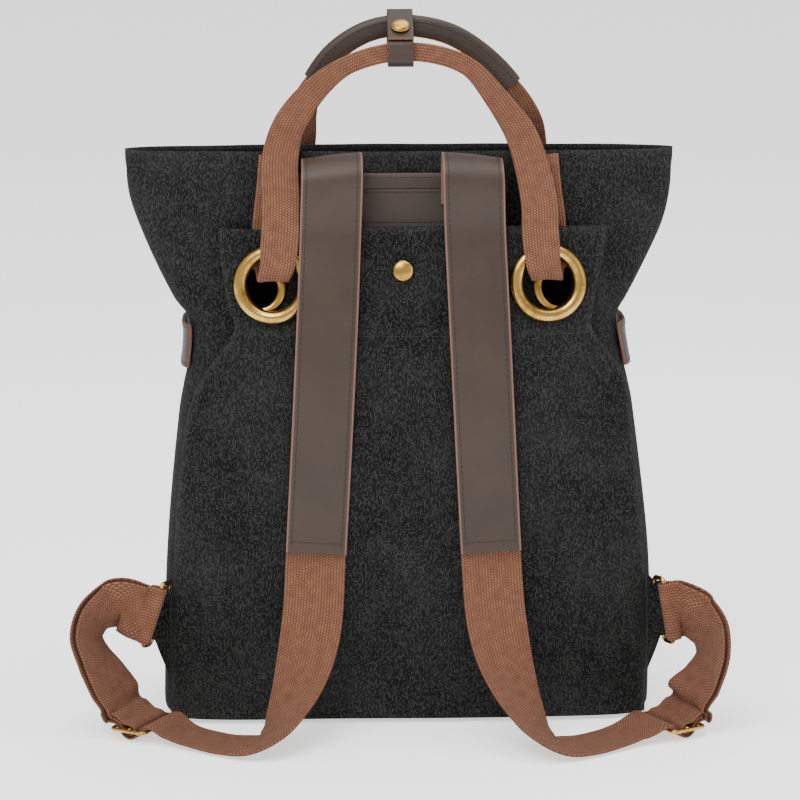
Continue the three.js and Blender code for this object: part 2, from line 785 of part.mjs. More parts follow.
function webbingRoute(strap) {
  const { sign } = strap;
  const inwards = new THREE.Vector3(-sign, 0, 0);
  const behind = [1, 1 / 3, -1 / 2].map((share) => {
    const z = LEATHER_END + share * STRAP_TUCK;
    const x = strapAcross(sign, z);
    const depth = panelDepth(x, z) + WEBBING_STAND + 1.5 * GAP;
    return { place: new THREE.Vector3(x, -depth, z), across: inwards };
  });
  const fall = FALL.map((row) => ({
    place: freePlace(strap, row, row.forward * strap.forward),
    across: acrossFrom(sign, row.turn, row.lift),
  }));
  const slider = sliderFrame(strap);
  const over = SLIDER_BAR / 2 + GAP + WEBBING / 2 + 0.7;
  const passed = threaded(slider, [
    [-1.3, over * 0.9],
    [-1, over],
    [-0.84, over * 0.84],
    [-0.62, over * 0.2],
    [-0.38, UNDER_BAR * 0.6],
    [0, UNDER_BAR],
    [0.38, UNDER_BAR * 0.7],
    [0.64, over * 0.1],
    [0.84, over * 0.84],
    [1, over],
    [1.5, over + 0.6],
  ]);
  const ring = ringFrame(strap);
  const facing = new THREE.Vector3(0, -1, 0);
  const loop = [
    ...strap.loop.map((row) => ({
      place: freePlace(strap, row, 0),
      across: acrossFrom(sign, row.turn, row.lift),
    })),
    ...[[2.9, 0.15], [1.5, 0]].map(([wires, forward]) => ({
      place: ring.outer.clone().addScaledVector(ring.outward, wires * RING_WIRE),
      across: ring.across.clone().addScaledVector(facing, forward).normalize(),
    })),
  ];
  const wrapRadius = RING_WIRE / 2 + GAP + WEBBING / 2 + 0.5;
  const wrapped = [100, 50, 0, -50, -100].map((angle) => {
    const a = THREE.MathUtils.degToRad(angle);
    return {
      place: ring.outer
        .clone()
        .addScaledVector(ring.outward, -Math.cos(a) * wrapRadius)
        .addScaledVector(facing, -Math.sin(a) * wrapRadius),
      across: ring.across,
    };
  });
  const outer = layer(loop, (sign * LOOP_APART) / 2);
  const inner = layer(loop, (-sign * LOOP_APART) / 2).reverse();
  const back = threaded(slider, [
    [1.15, over + 2 * LAYERS_APART - 0.6],
    [0.93, over + 2 * LAYERS_APART - 1.2],
    [0.72, over + LAYERS_APART * 1.1],
    [0.4, over + LAYERS_APART * 0.2],
    ...[90, 135, 180, 225, 270].map((angle) => {
      const a = THREE.MathUtils.degToRad(angle);
      return [(Math.cos(a) * BAR_WRAP) / SLIDER_PITCH, Math.sin(a) * BAR_WRAP];
    }),
    [0.36, -0.9],
    [0.68, over + 0.8],
    [1, over + LAYERS_APART - 0.6],
  ]);
  return [...behind, ...fall, ...passed, ...outer, ...wrapped, ...inner, ...back];
}

function slider() {
  const long = SLIDER_PITCH + SLIDER_BAR / 2;
  const wide = STRAP_WIDTH / 2 + SLIDER_SIDE_GAP;
  const tall = wide + SLIDER_BAR;
  const round = 3;
  const outline = new THREE.Shape();
  outline.moveTo(-long + round, -tall);
  outline.lineTo(long - round, -tall);
  outline.quadraticCurveTo(long, -tall, long, -tall + round);
  outline.lineTo(long, tall - round);
  outline.quadraticCurveTo(long, tall, long - round, tall);
  outline.lineTo(-long + round, tall);
  outline.quadraticCurveTo(-long, tall, -long, tall - round);
  outline.lineTo(-long, -tall + round);
  outline.quadraticCurveTo(-long, -tall, -long + round, -tall);
  const options = { depth: SLIDER_BAR, bevelEnabled: false, curveSegments: 4 };
  const plate = new THREE.ExtrudeGeometry(outline, options).translate(0, 0, -SLIDER_BAR / 2);
  let frame = toSolid(plate);
  for (const middle of [-SLIDER_PITCH / 2, SLIDER_PITCH / 2]) {
    const slot = new THREE.BoxGeometry(SLIDER_SLOT, 2 * wide, 2 * SLIDER_BAR);
    frame = frame.subtract(toSolid(slot.translate(middle, 0, 0)));
  }
  return toGeometry(frame);
}

// A rectangular ring with round corners: long sides across the strap, six-sided wire.
function ringLink() {
  const long = STRAP_WIDTH / 2 + RING_SIDE_GAP + RING_WIRE / 2;
  const short = (RING_OPENING + RING_WIRE) / 2;
  const round = 3.5;
  const rings = [];
  const sides = 6;
  const bend = 3;
  for (const [cx, cy, from] of [
    [short, long, 0],
    [-short, long, 90],
    [-short, -long, 180],
    [short, -long, 270],
  ]) {
    for (let k = 0; k <= bend; k++) {
      const a = THREE.MathUtils.degToRad(from + (90 * k) / bend);
      const out = new THREE.Vector3(Math.cos(a), Math.sin(a), 0);
      const centre = new THREE.Vector3(cx - Math.sign(cx) * round, cy - Math.sign(cy) * round, 0);
      centre.addScaledVector(out, round);
      const ring = [];
      for (let m = 0; m < sides; m++) {
        const b = (2 * Math.PI * (m + 0.5)) / sides;
        ring.push(
          centre
            .clone()
            .addScaledVector(out, (Math.cos(b) * RING_WIRE) / 2)
            .add(new THREE.Vector3(0, 0, (Math.sin(b) * RING_WIRE) / 2)),
        );
      }
      rings.push(ring);
    }
  }
  return skin(rings.reverse(), true);
}

// A thin sheet between a lower and an upper edge with equally many points.
function sheetBetween(lower, upper, thickness) {
  const middles = lower.map((p, i) => p.clone().lerp(upper[i], 0.5));
  return skin(
    lower.map((low, i) => {
      const high = upper[i];
      const last = middles.length - 1;
      const along = middles[Math.min(i + 1, last)].clone().sub(middles[Math.max(i - 1, 0)]);
      const thick = along.cross(high.clone().sub(low)).setLength(thickness / 2);
      return [
        low.clone().sub(thick),
        high.clone().sub(thick),
        high.clone().add(thick),
        low.clone().add(thick),
      ];
    }),
  );
}

// The tab grows from the panel's side edge, narrows, and folds round the ring's inner bar.
function sideTab(strap) {
  const ring = ringFrame(strap);
  const wrap = RING_WIRE / 2 + GAP + CANVAS / 2 + 0.3;
  const facing = new THREE.Vector3(0, -1, 0);
  const edgeAt = (end) => {
    const z = TAB_ROOT_HEIGHT + (end * TAB_ROOT) / 2;
    const clear = GAP + CANVAS;
    const edge = panelEdge(z, strap.sign) + strap.sign * clear;
    const root = new THREE.Vector3(edge, -tabDepth(strap.sign, z), z);
    const around = [-90, -45, 0, 45, 90, 125].map((angle) => {
      const a = THREE.MathUtils.degToRad(angle);
      return ring.inner
        .clone()
        .addScaledVector(ring.across, (end * (STRAP_WIDTH - 4)) / 2)
        .addScaledVector(ring.outward, Math.cos(a) * wrap)
        .addScaledVector(facing, Math.sin(a) * wrap);
    });
    const between = around[0].clone().lerp(root, 0.5);
    return [root, between, ...around];
  };
  return sheetBetween(edgeAt(-1), edgeAt(1), CANVAS);
}

for (const strap of STRAPS) {
  const list = stations(webbingRoute(strap), 2);
  add("strap_webbing_" + strap.side, sweep(list, () => flatSection(STRAP_WIDTH, WEBBING)), "webbing");

  const frame = sliderFrame(strap);
  const up = frame.along.clone().cross(frame.across);
  const basis = new THREE.Matrix4().makeBasis(frame.along, frame.across, up);
  const buckle = add("strap_slider_" + strap.side, slider(), "brass");
  buckle.quaternion.setFromRotationMatrix(basis);
  buckle.position.copy(frame.centre);

  const hold = ringFrame(strap);
  const through = hold.open.clone().cross(hold.across);
  const turn = new THREE.Matrix4().makeBasis(hold.open, hold.across, through);
  const link = add("strap_ring_" + strap.side, ringLink(), "brass");
  link.quaternion.setFromRotationMatrix(turn);
  link.position.copy(hold.centre);

  add("side_tab_" + strap.side, sideTab(strap), "canvas");
}

// Handles
// Side is in shares of half the grommets' spread, up in shares of the rise above the rim,
// out in shares of the gap between the handles; turn is the angle across, fold the doubling.
const STRAND_BACK = table("side down out", [
  [0.96, 0.03, 0.3],
  [0.98, 0.28, 0.25],
  [1.01, 0.55, 0.4],
]);
const ARCH_BACK = table("side up out turn fold", [
  [-0.93, 0.02, 0.75, 0, 0.1],
  [-0.84, 0.34, 0.5, -6, 0.3],
  [-0.64, 0.66, 0.2, -30, 0.7],
  [-0.42, 0.87, 0.06, -55, 1],
  [-0.08, 1.0, 0, -86, 1],
  [0.24, 0.98, 0, -104, 1],
  [0.48, 0.84, 0.06, -130, 1],
  [0.68, 0.5, 0.25, -152, 0.7],
  [0.84, 0.14, 0.6, -165, 0.3],
]);
const ARCH_FRONT = table("side up out turn fold", [
  [-0.8, 0.0, 0.75, 0, 0.1],
  [-0.76, 0.3, 0.5, -6, 0.4],
  [-0.66, 0.55, 0.25, -25, 1],
  [-0.5, 0.78, 0.08, -45, 1],
  [-0.25, 0.95, 0, -68, 1],
  [0.02, 1.0, 0, -92, 1],
  [0.32, 0.94, 0, -108, 1],
  [0.55, 0.78, 0.06, -130, 1],
  [0.78, 0.5, 0.25, -140, 1],
  [0.92, 0.16, 0.6, -160, 0.4],
]);
const HANDLES = [
  { face: "back", side: -1, lift: 0, arch: ARCH_BACK },
  { face: "front", side: 1, lift: FRONT_HANDLE_LIFT, arch: ARCH_FRONT },
];
const APEX = BODY_HEIGHT + HANDLE_RISE;
const PINCH = 0.3;
const STUD_SHARE = 0.8;

// One handle runs up behind the panel, through the grommet, over the arch and back down.
function handleRoute(handle) {
  const { side, lift, arch } = handle;
  const flat = (sign) => new THREE.Vector3(sign < 0 ? 1 : -1, 0, 0);
  const behind = (sign) =>
    STRAND_BACK.map((row) => {
      const z = BODY_HEIGHT - row.down * (BODY_HEIGHT - GROMMET_HEIGHT);
      const x = GROMMET_SHIFT + (sign * row.side * GROMMET_SPREAD) / 2;
      const wall = wallDepth(x, Math.min(z, BODY_HEIGHT)) + GAP;
      const cloth = z < PANEL_TOP ? panelDepth(x, z) - GAP : wall + POCKET_SLACK;
      const depth = THREE.MathUtils.lerp(wall + WEBBING / 2, cloth - WEBBING / 2, row.out);
      return { place: new THREE.Vector3(x, side * depth, z), across: flat(sign), fold: 0 };
    });
  const through = (sign) => {
    const seat = SEATS[sign < 0 ? 0 : 1];
    const rise = GROMMET_HOLE / 2;
    const front = CANVAS + SEAT + GROMMET_PROUD + GAP + WEBBING / 2;
    const at = (shift, climb, depth, fold) => ({
      place: new THREE.Vector3(
        seat.x + shift,
        side * (seat.depth + seat.slopeZ * climb + depth),
        seat.z + climb,
      ),
      across: flat(sign).add(new THREE.Vector3(0, -sign * side * seat.slopeX, 0)),
      fold,
    });
    const back = -(SEAT + FLANGE + GAP + WEBBING / 2);
    return [
      at(sign * 2, rise * 0.85, back - 0.7, 0.15),
      at(sign * 1, rise * 0.5, back - 0.1, PINCH),
      at(0, rise * 0.22, CANVAS / 2, PINCH),
      at(-sign * 1, rise * 0.42, front * 0.75, PINCH),
      at(-sign * 3, rise * 0.85, front + 0.8, 0.15),
      at(-sign * 4, rise * 1.4, front + 0.6, 0),
      at(-sign * 5, rise * 2.1, front, 0),
      at(-sign * 5.5, rise * 3.1, front - 1.5, 0),
    ];
  };
  const over = arch.map((row) => {
    const z = BODY_HEIGHT + row.up * (HANDLE_RISE + lift);
    const near = wallDepth(SEATS[1].x, BODY_HEIGHT) + WEBBING + 2 * GAP;
    const x = row.side * (GROMMET_SPREAD / 2) + GROMMET_SHIFT * Math.abs(row.side);
    const a = THREE.MathUtils.degToRad(row.turn);
    const depth = HANDLES_APART / 2 + row.out * near;
    return {
      place: new THREE.Vector3(x, side * depth, z),
      across: new THREE.Vector3(Math.cos(a), 0, Math.sin(a)),
      fold: row.fold,
    };
  });
  return [
    ...behind(-1),
    ...through(-1),
    ...over,
    ...through(1).reverse(),
    ...behind(1).reverse(),
  ];
}

function handleSection(s) {
  const width = THREE.MathUtils.lerp(HANDLE_WIDTH, GRIP_TALL, s.fold);
  const thick = THREE.MathUtils.lerp(WEBBING, GRIP_THICK, s.fold);
  return flatSection(width, thick);
}

for (const handle of HANDLES) {
  const list = stations(handleRoute(handle), 2);
  add("handle_" + handle.face, sweep(list, handleSection), "webbing");
}

// The leather grip is folded over the top edge of the hidden side's handle.
function gripSection(s) {
  const top = -GRIP_TALL / 2 - GAP;
  const wall = SLEEVE_WALL;
  const half = GRIP_THICK / 2 + GAP;
  const foot = GRIP_TALL / 2 - 2;
  return [
    [top - wall, -half - wall],
    [foot, -half - wall],
    [foot, -half],
    [top, -half],
    [top, half],
    [foot, half],
    [foot, half + wall],
    [top - wall, half + wall],
  ];
}

const frontStations = stations(handleRoute(HANDLES[1]), 2).filter((s) => s.fold > 0.99);
add("handle_grip", sweep(frontStations, gripSection), "leather");

// The keeper is one leather strip closed round both grips under its stud.
const KEEPER = table("out up", [
  [-0.83, -0.03],
  [-0.5, 0.17],
  [-0.11, 0.44],
  [0.22, 0.75],
  [0.5, 0.89],
  [0.83, 0.84],
  [1.02, 0.56],
  [1.02, 0.06],
  [0.81, -0.26],
  [0.44, -0.32],
  [0, -0.61],
  [-0.31, -0.92],
  [-0.58, -1.04],
  [-0.81, -0.89],
  [-0.83, -0.56],
  [-0.81, -0.22],
  [-0.61, -0.08],
  [-0.33, 0.01],
]);
const KEEPER_REACH = 18;

function keeperRoute() {
  const across = new THREE.Vector3(1, 0, 0);
  const base = APEX + FRONT_HANDLE_LIFT - 5;
  return KEEPER.map(({ out, up }) => ({
    place: new THREE.Vector3(0, out * KEEPER_REACH, base + up * KEEPER_REACH),
    across,
  }));
}

const keeper = stations(keeperRoute(), 2);
const tongue = keeper[3];
const tongueNormal = new THREE.Vector3(0, -tongue.along.z, tongue.along.y);
const tongueUnder = tongue.place.clone().addScaledVector(tongueNormal, -SLEEVE_WALL / 2);
const strip = toSolid(sweep(keeper, () => flatSection(KEEPER_WIDTH, SLEEVE_WALL)));
const pierced = strip.subtract(drill(SHANK_CUT, 3 * SLEEVE_WALL, tongue.place, tongueNormal));
add("handle_keeper", toGeometry(pierced), "leather");
const snap = stud(KEEPER_STUD, STUD_SHARE * STUD_PROUD, SLEEVE_WALL);
add("keeper_stud", aim(snap, tongueUnder, tongueNormal), "brass");

export default group;
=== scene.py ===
# A canvas backpack with leather and webbing straps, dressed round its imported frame, in metres.
import bmesh
import bpy
import math
import numpy as np
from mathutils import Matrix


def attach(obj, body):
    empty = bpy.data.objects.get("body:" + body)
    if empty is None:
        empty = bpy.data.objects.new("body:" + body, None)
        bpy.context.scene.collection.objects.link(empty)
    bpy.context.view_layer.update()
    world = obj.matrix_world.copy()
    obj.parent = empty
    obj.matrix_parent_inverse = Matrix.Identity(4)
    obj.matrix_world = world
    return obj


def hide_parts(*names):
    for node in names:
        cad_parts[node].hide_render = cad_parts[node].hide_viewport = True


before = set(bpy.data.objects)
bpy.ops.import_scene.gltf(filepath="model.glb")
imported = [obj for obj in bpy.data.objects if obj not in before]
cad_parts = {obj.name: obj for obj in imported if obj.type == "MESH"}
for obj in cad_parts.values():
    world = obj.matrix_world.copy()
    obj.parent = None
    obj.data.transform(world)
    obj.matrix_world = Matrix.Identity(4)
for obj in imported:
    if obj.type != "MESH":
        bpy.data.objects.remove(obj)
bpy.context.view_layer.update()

# The view: a long lens, a little above the bag and just left of its middle.
# The bag stands on a pale floor in even white surroundings,
# under a wide soft light from the front left, one from above and a weak one from the right.
CAMERA_PLACE = (-0.0718, -2.0529, 0.6446)
CAMERA_TARGET = (-0.0001, 0.0, 0.2080)
LENS_MM = 139.5
SENSOR_MM = 36
LIGHTS_TARGET = (0, 0, 0.2)
WORLD_STRENGTH = 0.8


def look_from(item, place, target):
    """Puts an object at a place with its -Z axis towards a target and its +Y axis up."""
    way = np.array(target) - np.array(place)
    flat = math.hypot(way[0], way[1])
    item.location = place
    item.rotation_euler = (math.atan2(flat, -way[2]), 0, math.atan2(-way[0], way[1]))
    bpy.context.scene.collection.objects.link(item)


camera_data = bpy.data.cameras.new("camera")
camera_data.lens = LENS_MM
camera_data.sensor_width = SENSOR_MM
camera = bpy.data.objects.new("camera", camera_data)
look_from(camera, CAMERA_PLACE, CAMERA_TARGET)
bpy.context.scene.camera = camera

# Name, place, side in metres and power in watts.
for name, place, size, power in [
    ("front_softbox", (-0.7, -1.3, 2.0), 1.4, 46),
    ("top_softbox", (0.3, 0.1, 2.0), 1.8, 26),
    ("right_softbox", (1.9, -0.7, 0.9), 1.2, 5),
]:
    light = bpy.data.lights.new(name, "AREA")
    light.size = size
    light.energy = power
    look_from(bpy.data.objects.new(name, light), place, LIGHTS_TARGET)

world = bpy.data.worlds.new("studio")
world.use_nodes = True
world.node_tree.nodes["Background"].inputs["Color"].default_value = (1, 1, 1, 1)
world.node_tree.nodes["Background"].inputs["Strength"].default_value = WORLD_STRENGTH
bpy.context.scene.world = world


def finish(name, constants):
    """A new material and its Principled shader, with constants set on the shader's named sockets."""
    material = bpy.data.materials.new(name)
    material.use_nodes = True
    shader = material.node_tree.nodes["Principled BSDF"]
    for key, value in constants.items():
        shader.inputs[key].default_value = value
    return material, material.node_tree, shader


FLOOR_REACH = 60
floor_material, _, _ = finish("floor", {
    "Base Color": (0.95, 0.95, 0.95, 1),
    "Roughness": 0.9,
    "Emission Color": (1, 1, 1, 1),
    "Emission Strength": 0.9,
})
floor_mesh = bpy.data.meshes.new("floor")
floor_corners = [(x * FLOOR_REACH, y * FLOOR_REACH, 0) for x, y in ((-1, -1), (1, -1), (1, 1), (-1, 1))]
floor_mesh.from_pydata(floor_corners, [], [(0, 1, 2, 3)])
floor_mesh.materials.append(floor_material)
floor = bpy.data.objects.new("floor", floor_mesh)
bpy.context.scene.collection.objects.link(floor)

# The bag is one tube of washed charcoal canvas with a flat base and an open, flared mouth.
# It is sewn from two faces and gussets, and its rim is turned in and stitched.
# Two eyelets pierce the near wall behind the holes of the outer panel.
BODY_HEIGHT = 0.380
BASE_WIDTH = 0.329
BASE_DEPTH = 0.120
BASE_ROUND = 0.009
CANVAS = 0.002
RIM_HEM = 0.010
EYELET_SPREAD = 0.200
EYELET_HEIGHT = 0.292
EYELET_HOLE = 0.026
GROMMET_SHIFT = 0.005
HEM_PROUD = 0.0007
BROAD_WAVE = 0.0011
NARROW_WAVE = 0.0007
WAVES_GROW_FROM = 0.26

# Depth, middle and spread across, middle and spread up, of the dents beside the panel and in the gussets.
BODY_DENTS = [(0.0045, 0.141, 0.009, 0.298, 0.034), (0.002, -0.137, 0.008, 0.292, 0.030)]
GUSSET_DENTS = [(0.003, 0.004, 0.022, 0.255, 0.05)]
# Height, half width, lean to one side, depth, and squareness of the section.
FORM = np.array([
    (0, 1, 0.02, 1, 7),
    (0.29, 0.988, 0.026, 1, 6.5),
    (0.55, 0.927, 0.021, 0.95, 5),
    (0.64, 0.889, 0.02, 0.87, 4.2),
    (0.705, 0.882, 0.012, 0.79, 3.6),
    (0.74, 0.93, 0.002, 0.73, 3.3),
    (0.8, 0.996, 0, 0.65, 3),
    (0.87, 1.06, 0.004, 0.52, 2.7),
    (0.93, 1.095, 0, 0.42, 2.5),
    (1, 1.106, 0, 0.32, 2.3),
])


def column(rows, which, at):
    """A column's value at a height share: a cubic between rows, its slope at a row that between its neighbours."""
    up, value = rows[:, 0], rows[:, which]
    slope = np.empty(len(rows))
    slope[1:-1] = (value[2:] - value[:-2]) / (up[2:] - up[:-2])
    slope[0] = (value[1] - value[0]) / (up[1] - up[0])
    slope[-1] = (value[-1] - value[-2]) / (up[-1] - up[-2])
    t = np.clip(at, up[0], up[-1])
    i = np.clip(np.searchsorted(up, t, side="right") - 1, 0, len(rows) - 2)
    span = up[i + 1] - up[i]
    s = (t - up[i]) / span
    ease = s * s * (3 - 2 * s)
    bend = span * (slope[i] * s * (1 - s) ** 2 - slope[i + 1] * s * s * (1 - s))
    return value[i] * (1 - ease) + value[i + 1] * ease + bend


def form_at(z):
    """The bag's half width, lean, half depth and squareness at a height."""
    up = np.asarray(z) / BODY_HEIGHT
    half, lean, depth, square = (column(FORM, which, up) for which in (1, 2, 3, 4))
    return half * BASE_WIDTH / 2, lean * BASE_WIDTH / 2, depth * BASE_DEPTH / 2, square


def wall_depth(x, z):
    """Distance of the wall from the middle plane: the superellipse of the section at that height."""
    half, lean, depth, square = form_at(z)
    share = np.minimum(np.abs(x - lean) / half, 0.999)
    return depth * (1 - share ** square) ** (1 / square)


def hump(value, middle, spread):
    """A smooth hump of height 1: exp of minus the square of the distance from its middle over its spread."""
    return np.exp(-(((value - middle) / spread) ** 2))


def ramp(low, high, value):
    """0 below low, 1 above high, with an eased cubic between."""
    s = np.clip((value - low) / (high - low), 0, 1)
    return s * s * (3 - 2 * s)


def dented(across, up, dents):
    """How deep a table of dents is at a place: the sum of each depth times a hump across and a hump up."""
    return sum(deep * hump(across, x, wide) * hump(up, z, tall) for deep, x, wide, z, tall in dents)


def unit(vectors):
    """Vectors divided by their length."""
    return vectors / np.linalg.norm(vectors, axis=-1, keepdims=True)


def run_along(points, axis):
    """The distance run along a grid of points from its first row or column, summed from step to step."""
    steps = np.diff(points, axis=axis, prepend=np.take(points, [0], axis))
    return np.cumsum(np.linalg.norm(steps, axis=-1), axis=axis)


def grid_faces(rows, columns, closed):
    """Quads between neighbouring rows and columns of a grid of points, wrapped round when closed."""
    i, j = np.meshgrid(np.arange(rows - 1), np.arange(columns if closed else columns - 1), indexing="ij")
    k = (j + 1) % columns
    corners = [i * columns + j, i * columns + k, (i + 1) * columns + k, (i + 1) * columns + j]
    return np.stack(corners, -1).reshape(-1, 4)


def make_piece(name, points, faces, material, uv=None, caps=()):
    """One object at the origin from points, quads and end faces; uv holds each point's place on the flat cloth."""
    mesh = bpy.data.meshes.new(name)
    polygons = [tuple(face) for face in faces.tolist()] + [tuple(cap) for cap in caps]
    mesh.from_pydata(points.reshape(-1, 3).tolist(), [], polygons)
    if uv is not None:
        corner = np.empty(len(mesh.loops), dtype=np.int32)
        mesh.loops.foreach_get("vertex_index", corner)
        layer = mesh.uv_layers.new(name="UVMap")
        layer.data.foreach_set("uv", uv.reshape(-1, 2)[corner].astype(np.float32).ravel())
    mesh.polygons.foreach_set("use_smooth", np.ones(len(mesh.polygons), dtype=bool))
    mesh.materials.append(material)
    piece = bpy.data.objects.new(name, mesh)
    bpy.context.scene.collection.objects.link(piece)
    return piece


def thicken(piece, thickness, offset, even):
    """Turns a sheet into a wall: inside it at offset -1, about its middle at 0; even keeps it full at bends."""
    wall = piece.modifiers.new("wall", "SOLIDIFY")
    wall.thickness = thickness
    wall.offset = offset
    wall.use_even_offset = even
    return wall


def store(piece, name, values):
    """Stores one number a point on the mesh, for a material to read by its name."""
    layer = piece.data.attributes.new(name, "FLOAT", "POINT")
    layer.data.foreach_set("value", np.asarray(values, dtype=np.float32).ravel())


def settle(piece, slot, *nodes):
    """Closed pieces get outward faces; each rides on the one body and stands for its solids; slot is not used."""
    if not piece.modifiers:
        shell = bmesh.new()
        shell.from_mesh(piece.data)
        bmesh.ops.recalc_face_normals(shell, faces=shell.faces)
        shell.to_mesh(piece.data)
        shell.free()
    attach(piece, "root")
    if nodes:
        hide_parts(*nodes)


def dye(red, green, blue):
    """A screen colour, 0 to 255, made linear: c/12.92 in the dark, else ((c+0.055)/1.055) to the power 2.4."""
    share = np.array([red, green, blue]) / 255
    linear = np.where(share <= 0.04045, share / 12.92, ((share + 0.055) / 1.055) ** 2.4)
    return (*linear.tolist(), 1)


def node(tree, kind, feeds=(), **settings):
    """A shader node with its settings given; each named or numbered input is set to a value or fed by a socket."""
    made = tree.nodes.new(kind)
    for key, value in settings.items():
        setattr(made, key, value)
    for key, value in dict(feeds).items():
        if isinstance(value, bpy.types.NodeSocket):
            tree.links.new(value, made.inputs[key])
        else:
            made.inputs[key].default_value = value
    return made


def shader_group(name, inputs, outputs):
    """A node group with inputs of the kinds given and a number for each output, and its nodes for both ends."""
    tree = bpy.data.node_groups.new(name, "ShaderNodeTree")
    for socket, kind in inputs.items():
        tree.interface.new_socket(socket, in_out="INPUT", socket_type="NodeSocket" + kind)
    for socket in outputs:
        tree.interface.new_socket(socket, in_out="OUTPUT", socket_type="NodeSocketFloat")
    return tree, node(tree, "NodeGroupInput"), node(tree, "NodeGroupOutput")


def feed(tree, target, sockets):
    """Links each socket to the input of that name."""
    for name, socket in sockets.items():
        tree.links.new(socket, target.inputs[name])


def maths(tree, operation, *numbers):
    """The result of one operation on numbers, each a value or a socket."""
    return node(tree, "ShaderNodeMath", dict(enumerate(numbers)), operation=operation).outputs[0]


def vector_maths(tree, operation, *vectors):
    """The result of one operation on vectors, each a value or a socket."""
    return node(tree, "ShaderNodeVectorMath", dict(enumerate(vectors)), operation=operation).outputs[0]


def stretched(tree, value, low, high):
    """A number stretched so that low becomes 0 and high becomes 1, and held between them."""
    return node(tree, "ShaderNodeMapRange", {"Value": value, "From Min": low, "From Max": high}).outputs[0]


def sine_squared(tree, value, offset):
    """The square of the sine of pi times a value plus an offset, which may be a number or a socket."""
    sine = maths(tree, "SINE", maths(tree, "MULTIPLY", maths(tree, "ADD", value, offset), math.pi))
    return maths(tree, "MULTIPLY", sine, sine)


# Plain weave: ribs one thread wide along the cloth, crossed by threads over and under in turn.
# Pale cores of some threads show as flecks, and the wash has left the cloth lighter in patches.
# The threads wander by a share of their own spacing, and a fleck runs over one and a quarter threads.
THREAD_WANDER = (0.15, 0.5, 0.0)
FLECK_SHAPE = (1.0, 0.8, 1.0)
weave, given, gone = shader_group("canvas weave", {"Cloth": "Vector", "Thread": "Float"}, ("Height", "Fleck", "Wash"))
cloth, thread = given.outputs["Cloth"], given.outputs["Thread"]
spacing = node(weave, "ShaderNodeCombineXYZ", {0: thread, 1: thread, 2: 1.0})
wobble = node(weave, "ShaderNodeTexNoise", {"Vector": cloth, "Scale": 260.0, "Detail": 2.0})
shift = vector_maths(weave, "MULTIPLY", wobble.outputs["Color"], THREAD_WANDER)
counted = vector_maths(weave, "ADD", vector_maths(weave, "DIVIDE", cloth, spacing.outputs[0]), shift)
apart = node(weave, "ShaderNodeSeparateXYZ", {0: counted})
cells = node(weave, "ShaderNodeSeparateXYZ", {0: vector_maths(weave, "FLOOR", counted)})
half_step = maths(weave, "MULTIPLY", cells.outputs["X"], 0.5)
cross = maths(weave, "MULTIPLY_ADD", sine_squared(weave, apart.outputs["Y"], half_step), 0.6, 0.4)
bumps = maths(weave, "MULTIPLY", sine_squared(weave, apart.outputs["X"], 0.0), cross)
picked = vector_maths(weave, "FLOOR", vector_maths(weave, "MULTIPLY", counted, FLECK_SHAPE))
chance = node(weave, "ShaderNodeTexWhiteNoise", {"Vector": picked}, noise_dimensions="3D")
rare = stretched(weave, chance.outputs["Value"], 0.3, 1.1)
cloud = node(weave, "ShaderNodeTexNoise", {"Vector": cloth, "Scale": 16.0, "Detail": 5.0, "Roughness": 0.62})
faded = stretched(weave, cloud.outputs["Fac"], 0.4, 0.78)
feed(weave, gone, {"Height": bumps, "Fleck": maths(weave, "MULTIPLY", rare, bumps), "Wash": faded})

CANVAS_DARK = dye(5, 5, 5)
CANVAS_WORN = dye(32, 32, 32)
CANVAS_FLECK = dye(80, 80, 79)
CANVAS_THREAD = 0.0009


def mix_colour(tree, factor, first, second):
    """A blend from the first colour to the second by a factor; each colour is a value or a socket."""
    made = tree.nodes.new("ShaderNodeMix")
    made.data_type = "RGBA"
    tree.links.new(factor, made.inputs["Factor"])
    for socket, value in ((made.inputs[6], first), (made.inputs[7], second)):
        if isinstance(value, bpy.types.NodeSocket):
            tree.links.new(value, socket)
        else:
            socket.default_value = value
    return made.outputs[2]


def relief(tree, shader, height, distance, strength):
    """Feeds the shader's normal with bumps of a height socket, a distance deep in metres."""
    bump = node(tree, "ShaderNodeBump", {"Height": height, "Distance": distance, "Strength": strength})
    feed(tree, shader, {"Normal": bump.outputs[0]})


def canvas_finish(name, worn_edges):
    """Charcoal canvas read from the cloth's UV map; worn edges lightens it by the mesh's own wear attribute."""
    cotton = {"Roughness": 0.93, "Sheen Weight": 0.02, "Sheen Roughness": 0.6, "Specular IOR Level": 0.12}
    material, tree, shader = finish(name, cotton)
    flat = node(tree, "ShaderNodeUVMap", uv_map="UVMap")
    woven = node(tree, "ShaderNodeGroup", node_tree=weave)
    feed(tree, woven, {"Cloth": flat.outputs[0]})
    woven.inputs["Thread"].default_value = CANVAS_THREAD
    wear = node(tree, "ShaderNodeAttribute", attribute_name="wear")
    rubbed = maths(tree, "MULTIPLY_ADD", wear.outputs["Fac"], worn_edges, woven.outputs["Wash"])
    base = mix_colour(tree, rubbed, CANVAS_DARK, CANVAS_WORN)
    feed(tree, shader, {"Base Color": mix_colour(tree, woven.outputs["Fleck"], base, CANVAS_FLECK)})
    relief(tree, shader, woven.outputs["Height"], 0.00035, 0.8)
    return material


body_canvas = canvas_finish("body canvas", 0.8)

FACE_COLUMNS = 110
GUSSET_COLUMNS = 34
BODY_LEVELS = 120
SEAM_COLUMN = FACE_COLUMNS // 2 + GUSSET_COLUMNS
NEAR_COLUMN = FACE_COLUMNS + GUSSET_COLUMNS


